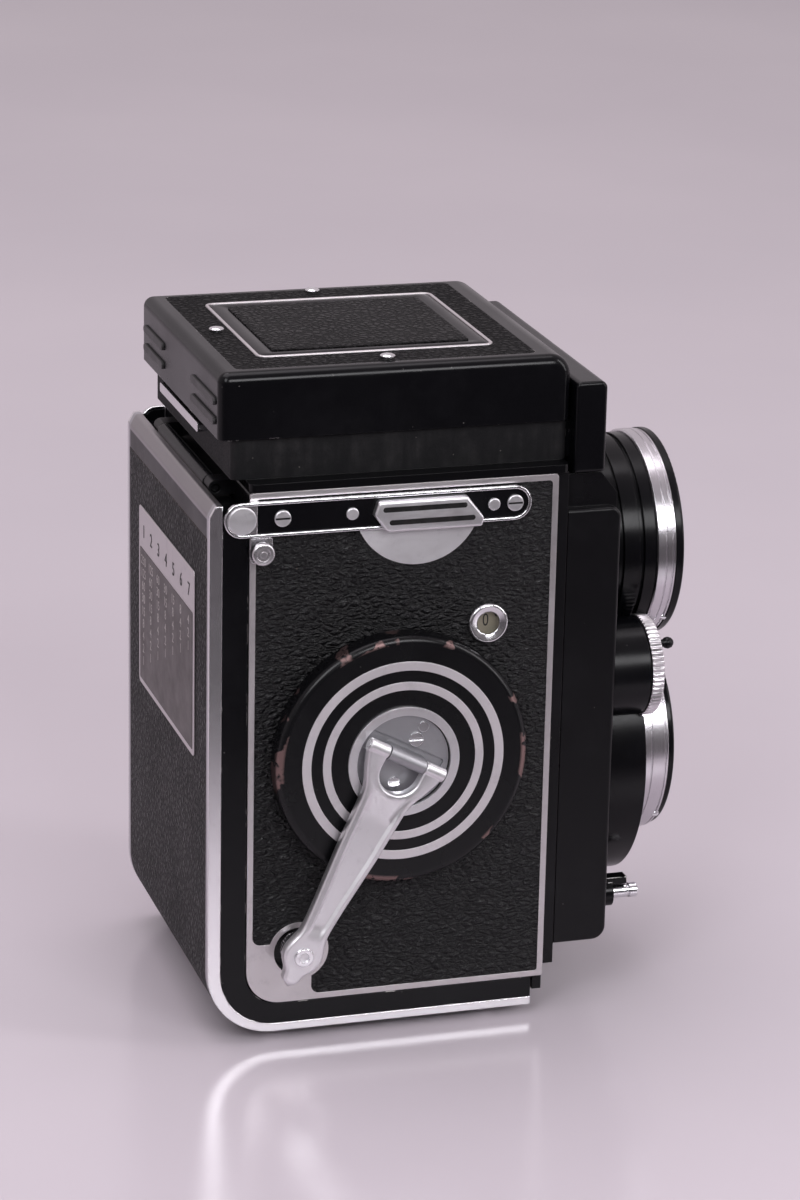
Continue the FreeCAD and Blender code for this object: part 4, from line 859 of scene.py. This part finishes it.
def counter_ring():
    """The wide chrome ring of the counter window, coned in to the glass."""
    window = middle("counter_bezel")
    profile = [(-0.6, 3.12), (-0.6, 3.9), (0.0, 4.35), (0.25, 4.4), (0.7, 4.25), (0.9, 4.0), (0.95, 3.8),
               (0.9, 3.6), (0.42, 2.4), (0.42, 3.12), (-0.6, 3.12)]
    ring = side_lathe(window.y, window.z, profile, 96)
    finished("counter_window_ring", ring, "body", CHROME, replaces=["counter_bezel"])


# ---- strap lug bars -----------------------------------------------------------------------------
BAR_R = 3.75                            # half the width of a strap lug bar
BAR_Z = high("strap_lug_bars").z - BAR_R
BAR_REAR = high("strap_lug_bars").y - BAR_R     # middles of the bar's round ends
BAR_FRONT = low("strap_lug_bars").y + BAR_R


def strap_bars():
    """The long bars: a thin bright rim round black enamel, and a metal end at the rear."""
    rims, floors, ends, plates = [], [], [], []
    end_r = BAR_R - 0.1
    end = [(BAR_REAR - 3.2, BAR_Z - end_r)] + arc(BAR_REAR, BAR_Z, end_r, -90, 90, 16)
    end.append((BAR_REAR - 3.2, BAR_Z + end_r))
    outer, inner, floor_loop = [stadium(BAR_FRONT, BAR_REAR, BAR_Z, BAR_R - inset)
                                for inset in (0, 0.75, 0.7)]
    for side in (-1, 1):
        rims.append(band("x", above(0.1, side), above(1.4, side), outer, inner))
        floors.append(side_prism(side, 0.1, 0.95, floor_loop))
        ends.append(side_prism(side, 0.2, 1.36, end))
        plates.append(side_prism(side, 0.02, 0.1, arc(-6.85, 116.2, 13.8, 195, 345, 40)))
    finished("strap_bar_rims", together(rims), "body", CHROME, bevel=0.22,
             replaces=["strap_lug_bars"])
    finished("strap_bar_floors", together(floors), "body", PAINT)
    finished("strap_bar_ends", together(ends), "body", CHROME_SOFT, bevel=0.2)
    finished("strap_half_round_plates", together(plates), "body", BRUSHED)


def scaled(outline, inset):
    """An outline drawn in about its own middle, by a distance on each side."""
    sides = [[point[i] for point in outline] for i in (0, 1)]
    middles = [(min(side) + max(side)) / 2 for side in sides]
    halves = [(max(side) - min(side)) / 2 for side in sides]
    return [tuple(m + (value - m) * (1 - inset / half) for value, m, half in zip(point, middles, halves))
            for point in outline]


def strap_bridge():
    """The polished plate over each strap bar, and the round end of the bar; the plate's two long slots are
    flat black inlays, painted shade of the slots' depth over the bar's own black enamel.
    """
    corners = [(3.3, 114.2), (2.35, 117.2), (-16.7, 117.2), (-20.5, 112.2), (-20.0, 110.4), (0.5, 110.4)]
    outline = rounded(corners, [0.8, 1.0, 1.2, 1.0, 0.6, 1.2], 6)
    steps = ((0, 0.9), (0, 2.3), (0.1, 2.6), (0.3, 2.8), (0.6, 2.88))
    disc = [(0.9, 0), (0.9, 3.0), (1.35, 3.0), (1.55, 2.8), (1.6, 2.5), (1.6, 0)]
    plates, slots, discs = [], [], []
    for side in (-1, 1):
        plates.append(loft("x", [above(height, side) for _, height in steps],
                           [scaled(outline, inset) for inset, _ in steps]))
        # Each slot is a flat black inlay: painted shade standing for the through slot's depth, and the real
        # black enamel of the bar beneath.
        for z, first, last in ((115.4, -16.0, 1.0), (112.6, -17.8, -0.4)):
            slots.append(side_prism(side, 2.0, 2.895, stadium(first, last, z, 0.55)))
        discs.append(side_lathe(BAR_REAR, BAR_Z, disc, 64, side=side))
    finished("strap_bridge_plates", together(plates), "body", PLATE_METAL,
             replaces=["strap_bridges"])
    finished("strap_bridge_slot_shade_and_enamel", together(slots), "body", FLOCK)
    finished("strap_bar_discs", together(discs), "body", DISC_METAL)


def bar_fasteners():
    """The slotted screws and the rivets in the strap bars; each screw's slot is a flat black bar of painted
    shade, not a cut slot.
    """
    screws, rivets = (22.4, -27.5), (7.6, -22.9)
    heads, lines = [], []
    half_slot, half_width = 1.55, 0.2
    for side in (-1, 1):
        for y, radius in [(y, 1.75) for y in screws] + [(y, 1.3) for y in rivets]:
            profile = [(0.9, 0), (0.9, radius), (1.36, radius), (1.5, radius - 0.2), (1.5, 0)]
            heads.append(side_lathe(y, BAR_Z, profile, 48, side=side))
        # The slots are black bars laid on the heads: painted shade in place of grooves.
        for y in screws:
            slot = rectangle(y - half_slot, y + half_slot, BAR_Z - half_width, BAR_Z + half_width)
            lines.append(side_prism(side, 1.2, 1.505, slot))
    finished("strap_bar_fasteners", together(heads), "body", DISC_METAL,
             replaces=["side_screws"])
    finished("screw_slot_painted_shade", together(lines), "body", FLOCK)


def round_button():
    """The small button under the strap bar: a turned head on a square foot."""
    place = middle("exposure_button")
    inner = LEATHER_X - high("exposure_button").x
    profile = [(0.15, 0), (0.15, 1.2), (1.5, 1.2), (1.5, 2.3), (1.6, 2.45), (3.2, 2.45), (3.5, 2.25),
               (3.6, 2.0), (3.6, 1.45), (3.45, 1.35), (3.45, 0.75), (3.58, 0.65), (3.58, 0)]
    head = side_lathe(place.y, place.z, profile, 64)
    stem = side_lathe(place.y, place.z, [(0.15, 0), (0.15, 1.15), (inner, 1.15), (inner, 0)], 24)
    finished("exposure_button_turned", together([head, stem]), "exposure_button", KNURLED,
             replaces=["exposure_button"])
    half = 2.7
    outline = rectangle(place.y - half, place.y + 2.0, place.z - half, place.z + half, 0.5)
    foot = side_prism(-1, 0.05, 0.4, outline)
    finished("exposure_button_foot", foot, "body", CHROME_SOFT, bevel=0.12)


# ---- lenses -------------------------------------------------------------------------------------
def lens_ring(z, back, front, radius, inner):
    """A bright bayonet ring: a band, a fine groove, a second band and a lip."""
    profile = [(back, inner), (back, radius - 0.3), (back - 0.3, radius), (back - 2.0, radius + 0.05),
               (back - 2.05, radius - 0.15), (back - 2.3, radius - 0.15), (back - 2.35, radius),
               (front + 0.9, radius), (front + 0.85, radius - 0.35), (front + 0.55, radius - 0.35),
               (front + 0.5, radius - 0.1), (front + 0.1, radius - 0.1), (front, radius - 0.2),
               (front, inner + 0.3), (front + 0.2, inner), (back, inner)]
    return lathe("y", 0, 0, z, profile, 160)


def bayonet_lugs(z, front, inner):
    """Three lugs just inside the mouth of a ring."""
    lugs = []
    for angle in (30, 150, 270):
        outer, near = [arc(0, z, radius, angle - 16, angle + 16, 8) for radius in (inner + 0.1, inner - 1.0)]
        lugs.append(prism("y", front, front + 1.5, outer + near[::-1]))
    return lugs


def bayonet_stub(z, reach, front):
    """The small pin that stands in a ring's edge."""
    turn = math.radians(222)
    profile = [(1.2, 0), (1.2, 0.7), (0.1, 0.9), (-0.4, 0.6), (-0.4, 0)]
    return lathe("y", front, reach * math.cos(turn), z + reach * math.sin(turn), profile, 24)


def front_cell(z, glass_r, outer):
    """The ribbed black cone that leads in to the glass."""
    back, first, depth, ribs = HOUSING_LOBE_Y - 1.0, 1.7, 3.6, 7
    profile = [(1.0, glass_r - 0.4), (first, glass_r - 0.3)]
    for rib in range(ribs):
        distance, radius = first + depth * rib / ribs, glass_r + (outer - glass_r) * rib / ribs
        profile += [(distance + 0.1, radius), (distance + 0.35, radius), (distance + 0.4, radius + 0.35)]
    profile += [(first + depth, outer), (0, outer), (0, glass_r - 0.4), (1.0, glass_r - 0.4)]
    return lathe("y", back, 0, z, profile, 120, way=-1)


def lens_pieces():
    """The bright rings of both lenses with their lugs and pins, and the black cells round the glasses."""
    ring_low, ring_high = low("bayonet_rings"), high("bayonet_rings")
    lenses = ((VIEW_Z, low("viewing_barrel").y, ring_low.y + 0.1, ring_high.z - VIEW_Z, 18.0),
              (TAKE_Z, low("shutter_housing").y, ring_low.y, TAKE_Z - ring_low.z, 17.0))
    rings = [lens_ring(*lens) for lens in lenses]
    lugs = [lug for z, _, front, _, inner in lenses for lug in bayonet_lugs(z, front, inner)]
    stubs = [bayonet_stub(z, radius - 0.6, ring_low.y) for z, _, _, radius, _ in lenses]
    cells = [front_cell(VIEW_Z, 14.5, 17.8), front_cell(TAKE_Z, 13.6, 16.8)]
    finished("lens_rings", together(rings), "lens_standard", LENS_CHROME,
             replaces=["bayonet_rings"])
    finished("ring_lugs", together(lugs), "lens_standard", CHROME, bevel=0.1)
    finished("bayonet_stubs", together(stubs), "lens_standard", CHROME)
    finished("lens_cells", together(cells), "lens_standard", CELL_PAINT)


def setting_wheel(name, side):
    """A knurled wheel whose edge shows, with a turned face, a cap and a small ball lever."""
    wheel = pivot(name + "_turn")
    corner, far = low(name), high(name)
    radius = (far.z - corner.z) / 2
    front = HOUSING_LOBE_Y - 3.1
    profile = [(2.8, 0), (2.8, radius - 0.3), (2.5, radius), (0.6, radius), (0.2, radius - 0.35),
               (0, radius - 0.9), (0, radius - 2.0), (0.35, radius - 2.4), (0.35, 4.4), (0, 4.0), (-0.1, 0)]
    rim = lathe("y", front, wheel.x, wheel.z, profile, 480, [(2, 3, 60, 0.4)])
    finished(name + "_knurled", rim, name, KNURLED, replaces=[name])
    root = front + 0.4 - corner.y
    ball = [(root, 0), (root, 1.1), (2.7, 0.75), (2.3, 0.9), (1.9, 1.2), (1.3, 1.3), (0.6, 1.1), (0.15, 0.6),
            (0, 0)]
    lever = lathe("y", corner.y, wheel.x + side * 5.0, wheel.z + 6.2, ball, 32)
    finished(name + "_lever", lever, name, PAINT)


def release_parts():
    """The release: a turned rod with a collar and a dished end."""
    centre, front = middle("release_button"), low("release_button").y
    length = high("release_button").y - front
    profile = [(length, 0), (length, 1.5), (2.6, 1.5), (2.5, 1.25), (2.1, 1.25), (2.0, 1.6), (0.35, 1.6),
               (0.08, 1.35), (0, 1.0), (0.1, 0)]
    button = lathe("y", front, centre.x, centre.z, profile, 48)
    finished("release_rod", button, "release_button", CHROME, replaces=["release_button"])


# ---- knobs of the far side ----------------------------------------------------------------------
def focus_knob():
    """The large focusing knob: a flange with a distance scale, a knurled grip and a leather cap."""
    centre = pivot("focus_knob_turn")
    length, scale_r = 15.2, 15.3
    base = high("focus_knob").x - length
    dial = [(0, 0), (0, 16.9), (0.5, 17.5), (1.7, 17.5), (2.7, 16.2), (2.7, 13.9), (3.2, 14.0), (3.6, 14.5),
            (13.6, 14.5), (14.7, 13.9), (length, 12.8), (length, 10.6), (14.85, 10.3), (14.85, 0)]
    knob = lathe("x", base, centre.y, centre.z, dial, 720, [(7, 8, 90, 0.45), (2, 3, 90, 0.2)])
    finished("focus_knob_turned", knob, "focus_knob", CHROME_SOFT, replaces=["focus_knob"])
    cap = lathe("x", base, centre.y, centre.z, [(14.84, 0), (14.84, 10.2), (15.1, 10.0), (15.12, 0)], 96)
    finished("focus_knob_cap", cap, "focus_knob", PAD_LEATHER)
    marks = []
    for index, label in enumerate(("1", "1.5", "2", "3", "4", "5", "7", "10", "15", "30")):
        angle = math.radians(90 - 30 * index)
        cos, sin = math.cos(angle), math.sin(angle)
        place = (base + 2.68, centre.y + scale_r * cos, centre.z + scale_r * sin)
        marks.append(numbers(label, 1.7, place, (0, sin, -cos), (0, cos, sin), 0.05))
    finished("focus_scale", together(marks), "focus_knob", INK)


def spool_knob(name):
    """A small knurled knob on a stem that goes through the cover."""
    centre = middle(name)
    end, inner = high(name).x - above(0, 1), low(name).x - above(0, 1)
    profile = [(inner, 0), (inner, 2.1), (inner + 0.3, 2.4), (0.3, 2.4), (0.3, 6.9), (0.6, 7.2),
               (end - 1.0, 7.2), (end - 0.3, 6.8), (end, 6.0), (end, 4.4), (end - 0.25, 4.2), (end - 0.25, 0)]
    knob = side_lathe(centre.y, centre.z, profile, 360, [(5, 6, 45, 0.35)], 1)
    finished(name + "_knurled", knob, name, CHROME_SOFT, replaces=[name])


# ---- small parts --------------------------------------------------------------------------------
def foot_studs():
    """The four low feet under the door."""
    corner, far = low("feet"), high("feet")
    tall, half = far.z - corner.z, 2.3
    profile = [(0, 0), (0, 1.2), (0.25, 1.9), (0.8, 2.25), (tall, half), (tall, 0)]
    studs = [lathe("z", corner.z, x, y, profile, 40)
             for x in (corner.x + half, far.x - half) for y in (corner.y + half, far.y - half)]
    finished("foot_studs", together(studs), "door", CHROME_SOFT, replaces=["feet"])


# ---- build --------------------------------------------------------------------------------------
dress_nodes()
finished("crank_arm_pressed", crank_arm(), "crank_arm", SATIN, replaces=["crank_arm"])
finished("crank_knob_turned", crank_knob(), "crank_knob", CHROME, replaces=["crank_knob"])
lid_pieces()
lid_ribs()
exposure_table()
counter_numbers()
strap_bars()
strap_bridge()
counter_ring()
round_button()
bar_fasteners()
hub_line()
lens_pieces()
setting_wheel("speed_wheel", -1)
setting_wheel("aperture_wheel", 1)
release_parts()
focus_knob()
spool_knob("supply_spool_knob")
spool_knob("take_up_spool_knob")
foot_studs()


# ---- camera, floor and light --------------------------------------------------------------------
def camera():
    """A long lens that looks down at the crank side, from slightly behind."""
    aim = Vector((-37.3, -3.3, 94.8))
    azimuth, elevation, roll = math.radians(252.91), math.radians(18.23), math.radians(-1.21)
    distance = 797.1
    level_part = math.cos(elevation)
    forward = Vector((-math.sin(azimuth) * level_part, math.cos(azimuth) * level_part, -math.sin(elevation)))
    level = forward.cross(Vector((0, 0, 1))).normalized()
    up = Matrix.Rotation(roll, 3, forward) @ level.cross(forward)
    right = forward.cross(up)
    data = bpy.data.cameras.new("photo_camera")
    data.lens = 115.3
    data.sensor_width = 36.0
    data.clip_end = 50.0
    holder = bpy.data.objects.new("photo_camera", data)
    bpy.context.scene.collection.objects.link(holder)
    turn = Matrix((right, up, -forward)).transposed().to_4x4()
    holder.matrix_world = Matrix.Translation((aim - forward * distance) * MM) @ turn
    bpy.context.scene.camera = holder


def floor():
    """A wide pale table top under the feet, darker in reflections from beside the crank."""
    half = 6000.0
    top = low("feet").z
    mesh = mesh_from([(*corner, top) for corner in rectangle(-half, half, -half, half)], [[0, 1, 2, 3]])
    table = bpy.data.objects.new("floor", mesh)
    bpy.context.scene.collection.objects.link(table)
    look = Look("floor_gloss")
    smears = look.noise(0.004, detail=5)
    path = look.add("ShaderNodeLightPath")
    shade = look.fit(look.axis("x"), -260 * MM, -80 * MM, 0.10, 0.9, smooth=True)
    seen = look.maths("MAXIMUM", shade, look.maths("SUBTRACT", 1.0, path.outputs["Is Glossy Ray"]))
    pale = look.mixed(look.fit(smears, 0.3, 0.7), (0.56, 0.51, 0.55), (0.52, 0.475, 0.515))
    look.set(base_color=look.mixed(seen, (0.0, 0.0, 0.0), pale), specular_ior_level=0.35,
             roughness=look.fit(smears, 0.3, 0.7, 0.16, 0.24))
    mesh.materials.append(look.material)


def soft_light(name, place, aim, size, power, colour):
    """A rectangular softbox at a place, turned towards its aim."""
    data = bpy.data.lights.new(name, "AREA")
    data.shape = "RECTANGLE"
    data.size, data.size_y = size[0] * MM, size[1] * MM
    data.energy = power
    data.color = colour
    lamp = bpy.data.objects.new(name, data)
    bpy.context.scene.collection.objects.link(lamp)
    way = (Vector(aim) - Vector(place)) * MM
    turn = way.to_track_quat("-Z", "Y").to_matrix().to_4x4()
    lamp.matrix_world = Matrix.Translation(Vector(place) * MM) @ turn


def studio():
    """A pale room, dimmer towards the crank side except where the camera sees it, and four softboxes."""
    world = bpy.data.worlds.new("studio")
    world.use_nodes = True
    tree = world.node_tree
    tree.nodes.clear()
    coordinates, split, ramp, path, most, back = [tree.nodes.new("ShaderNode" + kind) for kind in (
        "TexCoord", "SeparateXYZ", "MapRange", "LightPath", "Math", "Background")]
    tree.links.new(coordinates.outputs["Generated"], split.inputs[0])
    ramp.interpolation_type = "SMOOTHSTEP"
    tree.links.new(split.outputs["X"], ramp.inputs["Value"])
    for key, number in (("From Min", -0.9), ("From Max", 0.1), ("To Min", 0.22), ("To Max", 0.95)):
        ramp.inputs[key].default_value = number
    most.operation = "MAXIMUM"
    tree.links.new(path.outputs["Is Camera Ray"], most.inputs[0])
    tree.links.new(ramp.outputs["Result"], most.inputs[1])
    back.inputs["Color"].default_value = (0.60, 0.54, 0.575, 1)
    tree.links.new(most.outputs[0], back.inputs["Strength"])
    output = tree.nodes.new("ShaderNodeOutputWorld")
    tree.links.new(back.outputs[0], output.inputs["Surface"])
    bpy.context.scene.world = world
    soft_light("ceiling_softbox", (250, 150, 1500), (0, 0, 60), (1300, 1300), 11.0, (1, 0.95, 1))
    soft_light("window_side", (-900, 700, 900), (-30, 0, 60), (500, 700), 6.0, (0.96, 0.96, 1))
    soft_light("front_strip", (-500, -900, 500), (0, -30, 70), (160, 900), 3.5, (1, 0.97, 1))
    soft_light("side_softbox", (-1200, -250, 750), (-37, 0, 70), (700, 420), 8.0, (0.98, 0.97, 1))


camera()
floor()
studio()
bpy.context.scene.view_settings.view_transform = "Standard"
